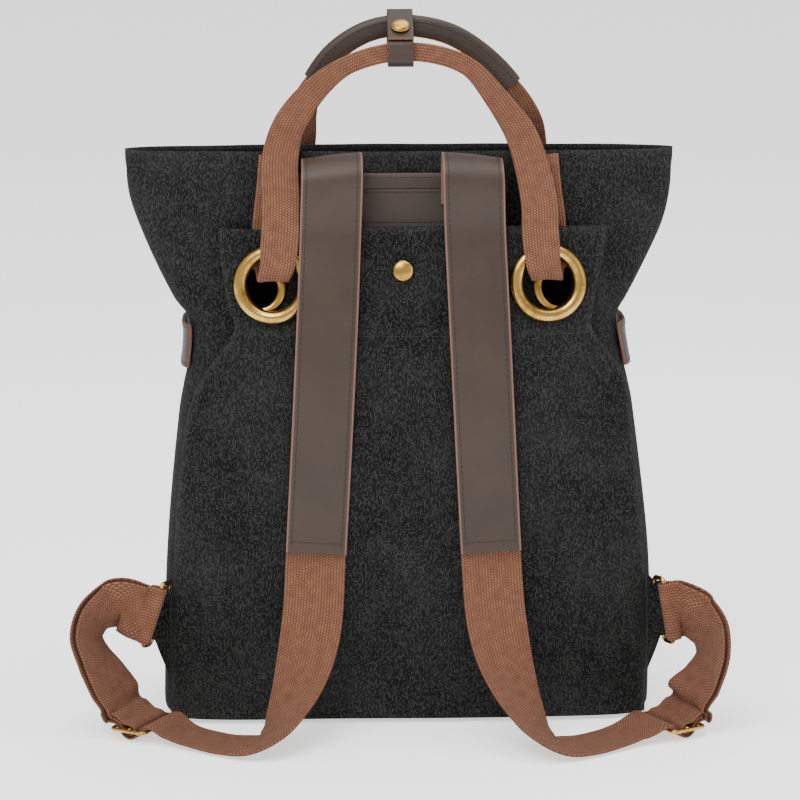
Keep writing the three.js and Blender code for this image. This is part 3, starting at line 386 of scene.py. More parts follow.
def square_round():
    """Points round the square from -1 to 1, evenly along each side, starting at the middle of the far side."""
    across = np.linspace(-1, 1, FACE_COLUMNS, endpoint=False)
    along = np.linspace(-1, 1, GUSSET_COLUMNS, endpoint=False)
    x = np.concatenate([across, np.ones(GUSSET_COLUMNS), -across, -np.ones(GUSSET_COLUMNS)])
    y = np.concatenate([-np.ones(FACE_COLUMNS), along, np.ones(FACE_COLUMNS), -along])
    return np.roll(x, SEAM_COLUMN), np.roll(y, SEAM_COLUMN)


def body_swell(x, y, z):
    """How far the cloth stands out of its smooth form: the rim's hem, the dent beside the panel, and slow waves."""
    hem = HEM_PROUD * ramp(BODY_HEIGHT - RIM_HEM, BODY_HEIGHT - RIM_HEM + 0.0012, z)
    dents = dented(x, z, BODY_DENTS) * (y < 0) + dented(y, z, GUSSET_DENTS) * (np.abs(x) > 0.12)
    broad = BROAD_WAVE * np.sin(41 * x + 1.3) * np.sin(23 * z + 17 * y + 0.4)
    narrow = NARROW_WAVE * np.sin(83 * x - 31 * z + 2.0)
    return hem - dents + (broad + narrow) * (0.5 + ramp(WAVES_GROW_FROM, BODY_HEIGHT, z))


def body_points():
    """Rings from the middle of the base outwards, round its edge and up to the rim, each a superellipse."""
    cx, cy = square_round()
    base = np.linspace(0.06, 1, 14)[:-1] ** 0.8
    bend = np.radians(np.linspace(0, 90, 9))
    climb = np.linspace(BASE_ROUND, BODY_HEIGHT, BODY_LEVELS)[1:]
    height = np.concatenate([0 * base, BASE_ROUND * (1 - np.cos(bend)), climb])
    inset = np.concatenate([0 * base + BASE_ROUND, BASE_ROUND * (1 - np.sin(bend)), 0 * climb])
    scale = np.concatenate([base, np.ones(len(bend) + len(climb))])
    half, lean, depth, square = (v[:, None] for v in form_at(height))
    norm = (np.abs(cx) ** square + np.abs(cy) ** square) ** (1 / square)
    x = lean + scale[:, None] * (half - inset[:, None]) * cx / norm
    y = scale[:, None] * (depth - inset[:, None]) * cy / norm
    z = np.repeat(height[:, None], len(cx), 1)
    out = unit(np.stack([cx * depth, cy * half, 0 * z], -1))
    swell = np.where(z > BASE_ROUND, body_swell(x, y, z), 0)
    points = np.stack([x, y, z], -1) + out * swell[..., None]
    girth = run_along(points, 1)
    girth = girth - girth[:, NEAR_COLUMN:NEAR_COLUMN + 1]
    rise = run_along(points[:, NEAR_COLUMN:NEAR_COLUMN + 1], 0)
    return points, np.stack([girth, np.repeat(rise, len(cx), 1)], -1)


def punch(points, faces, uv, centres, radius, near):
    """Takes out the faces inside each circle seen along Y and moves the hole's edge points out to the circle."""
    flat = points.reshape(-1, 3).copy()
    keep = np.ones(len(faces), dtype=bool)
    for x, z in centres:
        away = np.hypot(flat[:, 0] - x, flat[:, 2] - z)
        inside = (away < radius) & near(flat)
        keep &= ~inside[faces].any(axis=1)
    for x, z in centres:
        away = np.hypot(flat[:, 0] - x, flat[:, 2] - z)
        lost = np.unique(faces[~keep])
        held = np.intersect1d(lost, np.unique(faces[keep]))
        rim = held[(away[held] < radius * 1.6) & near(flat[held])]
        pull = radius / away[rim]
        flat[rim, 0] = x + (flat[rim, 0] - x) * pull
        flat[rim, 2] = z + (flat[rim, 2] - z) * pull
    faces = faces[keep]
    used = np.unique(faces)
    renumber = np.full(len(flat), -1)
    renumber[used] = np.arange(len(used))
    return flat[used], renumber[faces], uv.reshape(-1, 2)[used]


def paint_wear(piece, wear):
    """Stores how worn the cloth is, from 0 to 1."""
    store(piece, "wear", np.clip(wear, 0, 1))


EYELET_ROOM = 0.002
SEAM_JUMP = 0.3
body_grid, body_uv = body_points()
levels, around = body_grid.shape[:2]
eyelets = [(GROMMET_SHIFT + sign * EYELET_SPREAD / 2, EYELET_HEIGHT) for sign in (-1, 1)]
body_faces = grid_faces(levels, around, True)
points, faces, uv = punch(
    body_grid, body_faces, body_uv, eyelets, EYELET_HOLE / 2 + EYELET_ROOM, lambda p: p[:, 1] < 0
)
centre = len(points)
points = np.vstack([points, [[body_grid[0, :, 0].mean(), 0, 0]]])
uv = np.vstack([uv, [[0, 0]]])
fan = [(centre, (j + 1) % around, j) for j in range(around)]
bag = make_piece("bag", points, faces, body_canvas, uv, fan)

# The faces on the far seam run from the cloth's left end to its right end:
# their places on the cloth are moved to the right end.
cloth_places = np.empty(2 * len(bag.data.loops), dtype=np.float32)
bag.data.uv_layers[0].data.foreach_get("uv", cloth_places)
corners = cloth_places[: 8 * len(faces)].reshape(-1, 4, 2)
across_seam = np.ptp(corners[..., 0], axis=1) > SEAM_JUMP
corners[across_seam, :, 0] = np.abs(corners[across_seam, :, 0])
bag.data.uv_layers[0].data.foreach_set("uv", cloth_places)
body_height = points[:, 2]
paint_wear(bag, 0.9 * hump(body_height, BODY_HEIGHT, 0.0035) + 0.5 * hump(body_height, BODY_HEIGHT - RIM_HEM, 0.002))
thicken(bag, CANVAS, -1, True)
settle(bag, "canvas", "bag_body", "bag_base")

# Each outer panel is a second layer of the same canvas, sewn to the bag at the sides and foot.
# It is open at the top as a slip pocket, so it stands off the bag there and lies flat below.
# Its top is turned in, and one row of thread crosses it below the grommets.
PANEL_FOOT = 0.003
PANEL_HEIGHT = 0.330
PANEL_TOP = PANEL_FOOT + PANEL_HEIGHT
PANEL_CLEAR = 0.0012
POCKET_SLACK = 0.0105
PANEL_SEAM = 0.263
GROMMET_SPREAD = 0.180
GROMMET_HEIGHT = 0.296
GROMMET_HOLE = 0.0344
GROMMET_BAND = 0.0088
GROMMET_PROUD = 0.0042
GROMMET_RADIUS = GROMMET_HOLE / 2 + GROMMET_BAND
SEAT = 0.0007
PANEL_COLUMNS = 150
PANEL_LEVELS = 150
PANEL_HEM = 0.009
TOP_ROLL = 0.0009
SIDE_ROLL = 0.0006
SEAM_SUNK = 0.0006
PUCKER = 0.0002
HOLE_ROOM = 0.003

# Depth, middle and spread across, middle and spread up, of its dents; the last one is its belly, which stands out.
PANEL_DENTS = [
    (0.0016, 0.118, 0.02, 0.245, 0.045),
    (0.0012, -0.115, 0.018, 0.225, 0.05),
    (-0.0022, 0, 0.09, 0.15, 0.08),
]

# Height, left reach and right reach as shares of the bag's half width there.
PANEL = np.array([
    (0, 0.965, 0.972),
    (0.3, 0.962, 0.966),
    (0.57, 0.958, 0.966),
    (0.7, 0.915, 0.965),
    (0.8, 0.775, 0.845),
    (1, 0.69, 0.765),
])


def panel_edge(z, side):
    """Where the panel ends across the bag at a height, for side -1 or 1."""
    half, lean, _, _ = form_at(z)
    reach = column(PANEL, 1 if side < 0 else 2, (np.asarray(z) - PANEL_FOOT) / PANEL_HEIGHT)
    return lean + side * half * reach


def loose_depth(x, z):
    """The panel's inner face: the bag's wall, a clearance, and slack that grows to the top and dies at the sides."""
    half = form_at(z)[0]
    rise = ramp(PANEL_FOOT + 0.42 * PANEL_HEIGHT, PANEL_TOP, z)
    spread = np.minimum(np.abs(x) / (0.94 * half), 1)
    return wall_depth(x, z) + PANEL_CLEAR + POCKET_SLACK * rise * (1 - spread ** 4)


def seat_at(depth_of, x, z, reach):
    """A metal piece's seat on cloth: its place, and the cloth's slopes across and up over its reach."""
    slope_x = (depth_of(x + reach, z) - depth_of(x - reach, z)) / (2 * reach)
    slope_z = (depth_of(x, z + reach) - depth_of(x, z - reach)) / (2 * reach)
    return float(x), float(z), float(depth_of(x, z)), float(slope_x), float(slope_z)


GROMMET_PLACES = [GROMMET_SHIFT + sign * GROMMET_SPREAD / 2 for sign in (-1, 1)]
SEATS = [seat_at(loose_depth, x, GROMMET_HEIGHT, GROMMET_HOLE / 2) for x in GROMMET_PLACES]


def panel_depth(x, z):
    """The panel's inner face, pressed flat in the plane of each grommet's seat and eased out round it."""
    depth = loose_depth(x, z)
    for seat_x, seat_z, seat_depth, slope_x, slope_z in SEATS:
        flat = seat_depth + slope_x * (x - seat_x) + slope_z * (z - seat_z)
        away = np.hypot(x - seat_x, z - seat_z)
        depth = flat + (depth - flat) * ramp(GROMMET_RADIUS + 0.003, GROMMET_RADIUS + 0.026, away)
    return np.maximum(depth, wall_depth(x, z) + PANEL_CLEAR)


def panel_relief(x, z, edge):
    """Folds and seams: thick turned edges, the sunk seam row, shallow dents and slow waves, in metres outwards."""
    hem = TOP_ROLL * ramp(PANEL_TOP - PANEL_HEM - 0.0015, PANEL_TOP - PANEL_HEM, z)
    side_roll = SIDE_ROLL * (1 - ramp(0.004, 0.007, edge))
    seam = -SEAM_SUNK * hump(z, PANEL_SEAM, 0.0014)
    puckers = PUCKER * hump(z, PANEL_SEAM, 0.006) * np.sin(520 * x)
    waves = 0.0006 * np.sin(37 * x + 19 * z) + 0.0004 * np.sin(71 * x - 43 * z + 1.1) * ramp(0.2, PANEL_HEIGHT, z)
    return hem + side_roll + seam + puckers + (waves - dented(x, z, PANEL_DENTS)) * ramp(0, 0.012, edge)


panel_canvas = canvas_finish("panel canvas", 0.9)


def outer_panel(name, side):
    """A grid between the panel's side edges, from foot to top, on the panel's outer face less one wall."""
    z = (PANEL_FOOT + PANEL_HEIGHT * np.linspace(0, 1, PANEL_LEVELS))[:, None]
    share = np.linspace(-1, 1, PANEL_COLUMNS)[None, :]
    share = np.sin(share * math.pi / 2) * 0.35 + share * 0.65
    left, right = panel_edge(z, -1), panel_edge(z, 1)
    x = (left + right) / 2 + (right - left) / 2 * share
    z = np.repeat(z, PANEL_COLUMNS, 1)
    top_wave = 0.0012 * np.sin(24 * x + 0.8) * ramp(0.3, PANEL_TOP, z)
    z = z + top_wave
    edge = np.minimum((1 - np.abs(share)) * (right - left) / 2, PANEL_TOP - z + 0.004)
    calm = np.ones_like(x)
    for seat_x, seat_z, *_ in SEATS:
        calm = calm * ramp(GROMMET_RADIUS, GROMMET_RADIUS + 0.012, np.hypot(x - seat_x, z - seat_z))
    depth = panel_depth(x, np.minimum(z, PANEL_TOP)) + CANVAS / 2 + panel_relief(x, z, edge) * calm
    points = np.stack([x, side * depth, z], -1)
    girth = run_along(points, 1)
    uv = np.stack([girth - girth[:, -1:] / 2, z], -1)
    faces = grid_faces(*points.shape[:2], False)
    holes = [(x, GROMMET_HEIGHT) for x in GROMMET_PLACES]
    flat, faces, uv = punch(points, faces, uv, holes, GROMMET_HOLE / 2 + HOLE_ROOM, lambda p: p[:, 2] > 0)
    if side > 0:
        faces = faces[:, ::-1]
    piece = make_piece(name + "_cloth", flat, faces, panel_canvas, uv)
    x, height = flat[:, 0], flat[:, 2]
    top = hump(height, PANEL_TOP, 0.003)
    sides = hump(np.minimum(x - panel_edge(height, -1), panel_edge(height, 1) - x), 0, 0.0025)
    paint_wear(piece, 0.8 * top + 0.7 * sides + 0.35 * hump(height, PANEL_SEAM + 0.002, 0.002))
    thicken(piece, CANVAS, 0, False)
    settle(piece, "canvas", name)


outer_panel("back_panel", -1)
outer_panel("front_panel", 1)

# Seams are sewn with dark thread: each stitch is a short, round-ended length of it,
# pulled down into the cloth at both ends, a fixed pitch apart along its line.
STITCH_AROUND = 6
STITCH_ALONG = 5
THREAD_SUNK = 0.0002
SIDE_ROW_INSET = 0.0045
# Pitch, length and radius of a stitch in cloth and in leather.
CLOTH_STITCH = (0.0032, 0.0025, 0.00032)
HIDE_STITCH = (0.0037, 0.0029, 0.00036)
dark_thread, _, _ = finish("dark thread", {"Base Color": dye(24, 23, 22), "Roughness": 0.7})


def along_line(at, run, rows):
    """Values at distances along a line, between the rows known at its run."""
    return np.stack([np.interp(at, run, rows[:, k]) for k in range(3)], -1)


def sew(name, lines, stitch, slot):
    """Stitches along lines of (points, normals): a spindle of the thread's radius, one every pitch."""
    pitch, length, radius = stitch
    along = np.linspace(-1, 1, STITCH_ALONG)
    turn = np.linspace(0, 2 * math.pi, STITCH_AROUND, endpoint=False)
    swell = np.sqrt(np.maximum(1 - (along * 0.96) ** 2, 0))[:, None]
    spindle = np.stack([
        np.repeat(along[:, None], STITCH_AROUND, 1) * length / 2,
        swell * np.cos(turn) * radius,
        swell * np.sin(turn) * radius,
    ], -1).reshape(-1, 3)
    quads = grid_faces(STITCH_ALONG, STITCH_AROUND, True)
    all_points, all_faces, caps = [], [], []
    count = 0
    for places, normals in lines:
        run = run_along(places, 0)
        many = max(int(run[-1] / pitch), 1)
        at = (np.arange(many) + 0.5) * run[-1] / many
        way = unit(along_line(at + pitch / 3, run, places) - along_line(at - pitch / 3, run, places))
        side = unit(np.cross(along_line(at, run, normals), way))
        frames = np.stack([way, side, np.cross(way, side)], 1)
        placed = along_line(at, run, places)[:, None] + np.einsum("pk,nkc->npc", spindle, frames)
        first = count + np.arange(many)[:, None, None] * len(spindle)
        all_points.append(placed.reshape(-1, 3))
        all_faces.append((quads[None] + first).reshape(-1, 4))
        for end, order in ((0, -1), (len(spindle) - STITCH_AROUND, 1)):
            ring = (end + np.arange(STITCH_AROUND))[::order]
            caps.extend((first[:, 0] + ring[None]).tolist())
        count += many * len(spindle)
    settle(make_piece(name, np.vstack(all_points), np.vstack(all_faces), dark_thread, None, caps), slot)


def on_panel(x, z, side):
    """Places and outward normals on a panel's face, from its depth just either side of each place."""
    step = 0.0005
    depth = panel_depth(x, z) + CANVAS - THREAD_SUNK
    lean_x = (panel_depth(x + step, z) - panel_depth(x - step, z)) / (2 * step)
    lean_z = (panel_depth(x, z + step) - panel_depth(x, z - step)) / (2 * step)
    normals = unit(np.stack([-lean_x, np.full_like(x, side), -lean_z], -1))
    return np.stack([x, side * depth, z], -1), normals


def panel_threads():
    """The seam row across each panel and the rows along its turned sides and its top hem."""
    lines = []
    for side in (-1, 1):
        for height in (PANEL_SEAM, PANEL_TOP - PANEL_HEM + 0.0005):
            x = np.linspace(panel_edge(height, -1) + 0.003, panel_edge(height, 1) - 0.003, 120)
            lines.append(on_panel(x, np.full_like(x, height), side))
        z = np.linspace(PANEL_FOOT + 0.004, PANEL_TOP - 0.004, 160)
        for end in (-1, 1):
            lines.append(on_panel(panel_edge(z, end) - end * SIDE_ROW_INSET, z, side))
    return lines


sew("panel_stitches", panel_threads(), CLOTH_STITCH, "canvas")

# Brass grommets grip the handle's holes in each panel: a fat rolled band in front,
# a barrel through the cloth and a flat washer behind. The two eyelets of the bag are lower.
# The metal is antique brass: bright where hands rub it, brown in its hollows.
FLANGE = 0.0014
BARREL = 0.0018
EYELET_BAND = 0.006
ROUND_SIDES = 72

grime, given, gone = shader_group("brass grime", {"Place": "Vector"}, ("Tarnish", "Scratch"))
place = given.outputs["Place"]
blotch = node(grime, "ShaderNodeTexNoise", {"Vector": place, "Scale": 95.0, "Detail": 6.0, "Roughness": 0.65})
fine = node(grime, "ShaderNodeTexNoise", {"Vector": place, "Scale": 900.0, "Detail": 3.0})
feed(grime, gone, {"Tarnish": stretched(grime, blotch.outputs["Fac"], 0.42, 0.68), "Scratch": fine.outputs["Fac"]})


def brass_finish(name, bright, dark):
    """Antique brass: two colours blended by tarnish, rougher where it is dull, with fine scratches."""
    material, tree, shader = finish(name, {"Metallic": 1.0})
    place = node(tree, "ShaderNodeTexCoord")
    dirt = node(tree, "ShaderNodeGroup", node_tree=grime)
    feed(tree, dirt, {"Place": place.outputs["Object"]})
    tarnish = dirt.outputs["Tarnish"]
    rough = node(tree, "ShaderNodeMapRange", {"Value": tarnish, "To Min": 0.2, "To Max": 0.42})
    feed(tree, shader, {"Base Color": mix_colour(tree, tarnish, bright, dark), "Roughness": rough.outputs[0]})
    relief(tree, shader, dirt.outputs["Scratch"], 0.00004, 0.35)
    return material


brass = brass_finish("antique brass", dye(196, 158, 84), dye(128, 94, 42))


def lathe_piece(name, profile, place, normal):
    """Revolves a closed profile of (radius, height) round an axis that stands at a place along a normal."""
    normal = unit(np.array(normal))
    first = unit(np.cross((0, 0, 1), normal))
    second = np.cross(normal, first)
    turn = np.linspace(0, 2 * math.pi, ROUND_SIDES, endpoint=False)
    radius, height = np.array(profile).T
    ring = np.cos(turn)[:, None] * first + np.sin(turn)[:, None] * second
    points = np.array(place) + radius[:, None, None] * ring[None] + height[:, None, None] * normal
    on_axis = radius < 1e-6
    rows = len(profile)
    faces = grid_faces(rows + (0 if on_axis.any() else 1), ROUND_SIDES, True) % (rows * ROUND_SIDES)
    piece = make_piece(name, points, faces, brass)
    if on_axis.any():
        shell = bmesh.new()
        shell.from_mesh(piece.data)
        bmesh.ops.remove_doubles(shell, verts=shell.verts, dist=1e-6)
        shell.to_mesh(piece.data)
        shell.free()
    return piece


def arc(middle_r, middle_h, half_r, half_h, start, end, count):
    """Profile points along an ellipse, from one angle to another in degrees."""
    angle = np.radians(np.linspace(start, end, count))
    return [(middle_r + half_r * math.cos(a), middle_h + half_h * math.sin(a)) for a in angle]


def grommet_profile():
    """Band from rim to bore as half an ellipse, down the barrel, out along the washer and back."""
    bore = GROMMET_HOLE / 2
    front = CANVAS + SEAT
    middle = (bore + GROMMET_RADIUS) / 2
    band = arc(middle, front, GROMMET_BAND / 2, GROMMET_PROUD, 0, 168, 18)
    back = -SEAT - FLANGE
    roll = arc(bore + 0.001, back + 0.001, 0.001, 0.001, 180, 270, 5)
    edge = arc(GROMMET_RADIUS - 0.0027, back + FLANGE / 2, FLANGE / 2, FLANGE / 2, -90, 90, 6)
    return [*band, (bore, front - 0.0004), *roll, *edge, (bore + BARREL, -SEAT), (bore + BARREL, front)]


def eyelet_profile():
    """A low rounded band outside and a barrel through the wall."""
    bore = EYELET_HOLE / 2
    band = arc(bore + EYELET_BAND / 2, SEAT, EYELET_BAND / 2, 0.0016, 0, 180, 12)
    return [*band, (bore, -CANVAS - SEAT), (bore + 0.0014, -CANVAS - SEAT), (bore + 0.0014, SEAT - 0.0001)]


def seat_normal(seat, side):
    """The outward normal of the cloth at a seat."""
    return (-seat[3], side, -seat[4])


for side, face in ((-1, "back"), (1, "front")):
    for seat, end in zip(SEATS, ("left", "right")):
        name = f"{face}_grommet_{end}"
        place = (seat[0], side * seat[2], seat[1])
        settle(lathe_piece(name + "_ring", grommet_profile(), place, seat_normal(seat, side)), "brass", name)

for (x, z), end in zip(eyelets, ("left", "right")):
    seat = seat_at(wall_depth, x, z, EYELET_HOLE / 2)
    place = (seat[0], -seat[2], seat[1])
    eyelet = lathe_piece(f"eyelet_{end}", eyelet_profile(), place, seat_normal(seat, -1))
    settle(eyelet, "brass", f"body_eyelet_{end}")

# One domed stud closes the back panel's pocket at its middle.
# It is a spun brass cap on a shank through the cloth, with a small washer behind.
STUD_DIAMETER = 0.0146
STUD_PROUD = 0.0045
STUD_SHANK = 0.004
WASHER = 0.0008
STUD_HEIGHT = 0.305


def stud_profile(diameter, proud, layer):
    """Washer, shank and a dome whose edge is rolled under, all on one axis."""
    r, shank, face = diameter / 2, STUD_SHANK / 2, layer + SEAT
    rim = arc(r - 0.0009, face + 0.0009, 0.0009, 0.0009, -90, 20, 6)
    climb = np.radians(np.linspace(16, 90, 16))
    dome = [(r * 0.97 * math.cos(a), face + 0.0012 + (proud - 0.0012) * math.sin(a) ** 0.9) for a in climb[:-1]]
    under = [(0, -SEAT - WASHER), (r * 0.6, -SEAT - WASHER), (r * 0.6, -SEAT), (shank, -SEAT), (shank, face)]
    return [*under, *rim, *dome, (0, face + proud)]


stud_seat = seat_at(panel_depth, 0, STUD_HEIGHT, STUD_DIAMETER)
stud_place = (0, -stud_seat[2], STUD_HEIGHT)
stud = stud_profile(STUD_DIAMETER, STUD_PROUD, CANVAS)
settle(lathe_piece("panel_stud_cap", stud, stud_place, seat_normal(stud_seat, -1)), "brass", "panel_stud")

# A leather patch under the rim anchors the shoulder straps, with a folded strip sewn on above it.
# The leather is oiled brown hide, cut raw, so its edges show the paler, pinkish middle.
# It is stitched along each edge with dark thread.
LEATHER = 0.0024
GAP = 0.0004
PATCH_WIDTH = 0.134
PATCH_FOOT = 0.330
PATCH_TALL = 0.026
STRIP_TALL = 0.0095

hide, given, gone = shader_group("hide grain", {"Place": "Vector"}, ("Height", "Cloud"))
place = given.outputs["Place"]
pebble = node(hide, "ShaderNodeTexVoronoi", {"Vector": place, "Scale": 1500.0}, feature="DISTANCE_TO_EDGE")
crease = node(hide, "ShaderNodeTexNoise", {"Vector": place, "Scale": 420.0, "Detail": 5.0})
oil = node(hide, "ShaderNodeTexNoise", {"Vector": place, "Scale": 26.0, "Detail": 6.0, "Roughness": 0.6})
pebbled = stretched(hide, pebble.outputs["Distance"], 0, 0.25)
grain = maths(hide, "MULTIPLY", crease.outputs["Fac"], pebbled)
feed(hide, gone, {"Height": grain, "Cloud": stretched(hide, oil.outputs["Fac"], 0.3, 0.7)})


def leather_finish(name, low, high, roughness):
    """Hide in object space: two colours by the oil's cloud, a fine grain, and raw hide where bare is below 0."""
    material, tree, shader = finish(name, {"Roughness": roughness, "Specular IOR Level": 0.45})
    place = node(tree, "ShaderNodeTexCoord")
    skin = node(tree, "ShaderNodeGroup", node_tree=hide)
    feed(tree, skin, {"Place": place.outputs["Object"]})
    dyed = mix_colour(tree, skin.outputs["Cloud"], low, high)
    bare = node(tree, "ShaderNodeAttribute", attribute_name="bare")
    ragged = maths(tree, "MULTIPLY_ADD", skin.outputs["Height"], 0.0007, bare.outputs["Fac"])
    raw = stretched(tree, ragged, 0.0005, -0.0001)
    feed(tree, shader, {"Base Color": mix_colour(tree, raw, dyed, RAW_HIDE)})
    relief(tree, shader, skin.outputs["Height"], 0.00012, 0.5)
    return material


EDGE_EASE = 0.0003
RAW_HIDE = dye(108, 74, 62)
leather = leather_finish("oiled leather", dye(39, 25, 14), dye(52, 35, 23), 0.5)
cut_edge = leather_finish("cut edge", dye(88, 58, 46), dye(112, 77, 63), 0.75)


def leather_piece(name, points, thickness, bare=0.0):
    """A grid of places as one layer of hide: solidified about its middle, its cut rim paler, bare that far in."""
    piece = make_piece(name, points, grid_faces(*points.shape[:2], False), leather)
    run = run_along(points, 1)
    inset = np.minimum(run, run[:, -1:] - run) - bare
    store(piece, "bare", inset if bare else inset * 0 + 1)
    piece.data.materials.append(cut_edge)
    thicken(piece, thickness, 0, True).material_offset_rim = 1
    eased = piece.modifiers.new("eased edges", "BEVEL")
    eased.width = EDGE_EASE
    eased.segments = 2
    eased.limit_method = "ANGLE"
    eased.angle_limit = math.radians(50)
    return piece


def on_wall(width, foot, tall, offset, columns, rows):
    """A grid on the near wall of the bag, centred across it, a fixed offset in front."""
    x = np.linspace(-width / 2, width / 2, columns)[None, :]
    z = foot + np.linspace(0, tall, rows)[:, None]
    x, z = np.broadcast_arrays(x, z)
    return np.stack([x, -(wall_depth(x, z) + offset), z], -1)


def lay(points, lift):
    """Rows of a grid as thread lines: places moved along the grid's outward normals, and those normals."""
    normals = unit(np.cross(np.gradient(points, axis=1), np.gradient(points, axis=0)))
    return points + normals * lift, normals


patch_grid = on_wall(PATCH_WIDTH, PATCH_FOOT, PATCH_TALL, GAP + LEATHER / 2, 40, 14)
settle(leather_piece("patch", patch_grid, LEATHER), "leather", "anchor_patch")
strip_foot = PATCH_FOOT + PATCH_TALL + GAP
strip_grid = on_wall(PATCH_WIDTH, strip_foot, STRIP_TALL, GAP + LEATHER / 2 + 0.0003, 40, 10)
strip_grid[..., 1] -= 0.0009 * np.sqrt(1 - np.linspace(-0.95, 0.95, 10) ** 2)[:, None]
settle(leather_piece("strip", strip_grid, LEATHER), "leather", "anchor_strip")


def wall_rows(heights, width, offset):
    """Thread lines across the near wall at heights, a fixed offset in front."""
    lines = []
    for height in heights:
        places, normals = lay(on_wall(width, height - 0.001, 0.002, offset, 60, 3), 0)
        lines.append((places[1], normals[1]))
    return lines


ROW_WIDTH = PATCH_WIDTH - 0.004
patch_lines = wall_rows((PATCH_FOOT + 0.0048, PATCH_FOOT + 0.0240), ROW_WIDTH, GAP + LEATHER + 0.0001)
patch_lines += wall_rows((strip_foot + 0.0070,), ROW_WIDTH, GAP + LEATHER + 0.0011)
sew("patch_stitches", patch_lines, HIDE_STITCH, "leather")

# Leather bands cross both gussets at the waist, between the two outer panels.
# Each is one strip of the same hide, stitched along its top and foot.
BAND_FOOT = 0.238
BAND_TALL = 0.028
BAND_SWEEP = 20
BAND_CLEAR = 0.0016
band_lines = []
for sign, side in ((-1, "left"), (1, "right")):
    z = (BAND_FOOT + BAND_TALL * np.linspace(0, 1, 12))[:, None]
    angle = np.radians(np.linspace(-BAND_SWEEP, BAND_SWEEP, 24) * sign)[None, :]
    half, lean, depth, square = form_at(z)
    offset = BAND_CLEAR + LEATHER / 2
    x = lean + sign * (half + offset) * np.cos(angle) ** (2 / square)
    y = (depth + offset) * np.sign(angle) * np.abs(np.sin(angle)) ** (2 / square)
    x, y, z = np.broadcast_arrays(x, y, z)
    grid = np.stack([x, y, z], -1)
    settle(leather_piece(f"band_{side}", grid, LEATHER), "leather", f"side_band_{side}")
    placed, normals = lay(grid, LEATHER / 2)
    band_lines += [(placed[1], normals[1]), (placed[-2], normals[-2])]
sew("band_stitches", band_lines, HIDE_STITCH, "leather")

# The upper half of each shoulder strap is leather.
# It is sewn to the patch, rises to the rim, folds forward over itself and hangs down the panel.
# A row of dark stitches runs inside each edge and across its end, where it holds the webbing.
STRAP_WIDTH = 0.040
STRAP_SPREAD = 0.092
STRAP_RISE = 0.014
STRAP_TUCK = 0.022
LEATHER_END = 0.119
WEBBING = 0.002
SPLAY = 0.012
FOLD_TOP = BODY_HEIGHT - 0.004
HANG_TOP = FOLD_TOP - 0.006
LEATHER_STAND = CANVAS + GAP + WEBBING + GAP + LEATHER / 2
HANG_REACH = STRAP_RISE * 0.35
BARE_EDGE = 0.0012
STRAP_CUP = 0.0007
ROW_INSET = 0.0034
STRAP_COLUMNS = 14

# How far the strap tilts across at each place of its route, in degrees.
FOLD_TILT = [0, 0, 2.4, 6, 6, 4.8, 1.8, 0, 0, 0, 0]
# Height share on the patch, and reach forwards as a share of the fold.
RISE = [(0.35, 0), (0.62, 0), (0.9, 0.1), (1.03, 0.5)]
# Share of the hang, and stand off the panel as a share of its reach there.
HANG = [(0.0, 0.95), (0.16, 0.75), (0.32, 0.5), (0.5, 0.28), (0.7, 0.16), (0.88, 0.08), (1, 0.08)]


def spline(places, steps, centripetal):
    """Catmull-Rom curve with equal steps between places; centripetal spaces its knots by the roots of the spans."""
    places = np.asarray(places, float)
    padded = np.vstack([2 * places[0] - places[1], places, 2 * places[-1] - places[-2]])
    s = np.linspace(0, len(places) - 1, (len(places) - 1) * steps + 1)
    k = np.minimum(s.astype(int), len(places) - 2)
    t = (s - k)[:, None]
    p0, p1, p2, p3 = (padded[k + n] for n in range(4))
    if centripetal:
        spans = ((p0, p1), (p1, p2), (p2, p3))
        d0, d1, d2 = (np.sqrt(np.linalg.norm(b - a, axis=1, keepdims=True)) for a, b in spans)
        v1 = ((p1 - p0) / d0 - (p2 - p0) / (d0 + d1) + (p2 - p1) / d1) * d1
        v2 = ((p2 - p1) / d1 - (p3 - p1) / (d1 + d2) + (p3 - p2) / d2) * d1
    else:
        v1, v2 = (p2 - p0) / 2, (p3 - p1) / 2
    return p1 + v1 * t + (3 * (p2 - p1) - 2 * v1 - v2) * t ** 2 + (2 * (p1 - p2) + v1 + v2) * t ** 3


def route(places, across, steps):
    """Along a band: its middle line, the unit vector across it square to the line, and the one through it."""
    line = spline(places, steps, True)
    wide = spline(across, steps, False)
    way = unit(np.gradient(line, axis=0))
    wide = unit(wide - (wide * way).sum(1, keepdims=True) * way)
    return line, wide, np.cross(way, wide)


def strap_across(sign, z):
    """How far a hanging strap's middle lies from the bag's middle: it splays outwards as it falls."""
    down = np.maximum((HANG_TOP - z) / (HANG_TOP - LEATHER_END), 0)
    return sign * (STRAP_SPREAD / 2 + SPLAY * down ** 1.2)


def leather_route(sign):
    """Up the patch, over the fold and down the panel."""
    middle = sign * STRAP_SPREAD / 2
    places = []
    for up, out in RISE:
        z = PATCH_FOOT + up * (FOLD_TOP - PATCH_FOOT)
        stand = wall_depth(middle, min(z, BODY_HEIGHT)) + 2 * GAP + 1.5 * LEATHER + out * STRAP_RISE
        places.append((middle, -stand, z))
    for down, out in HANG:
        z = HANG_TOP - down * (HANG_TOP - LEATHER_END)
        x = strap_across(sign, z)
        stand = panel_depth(x, min(z, PANEL_TOP)) + LEATHER_STAND + out * HANG_REACH
        places.append((x, -stand, z))
    tilt = np.radians(FOLD_TILT)
    across = np.stack([-sign * np.cos(tilt), 0 * tilt, np.sin(tilt)], -1)
    return route(places, across, 12)


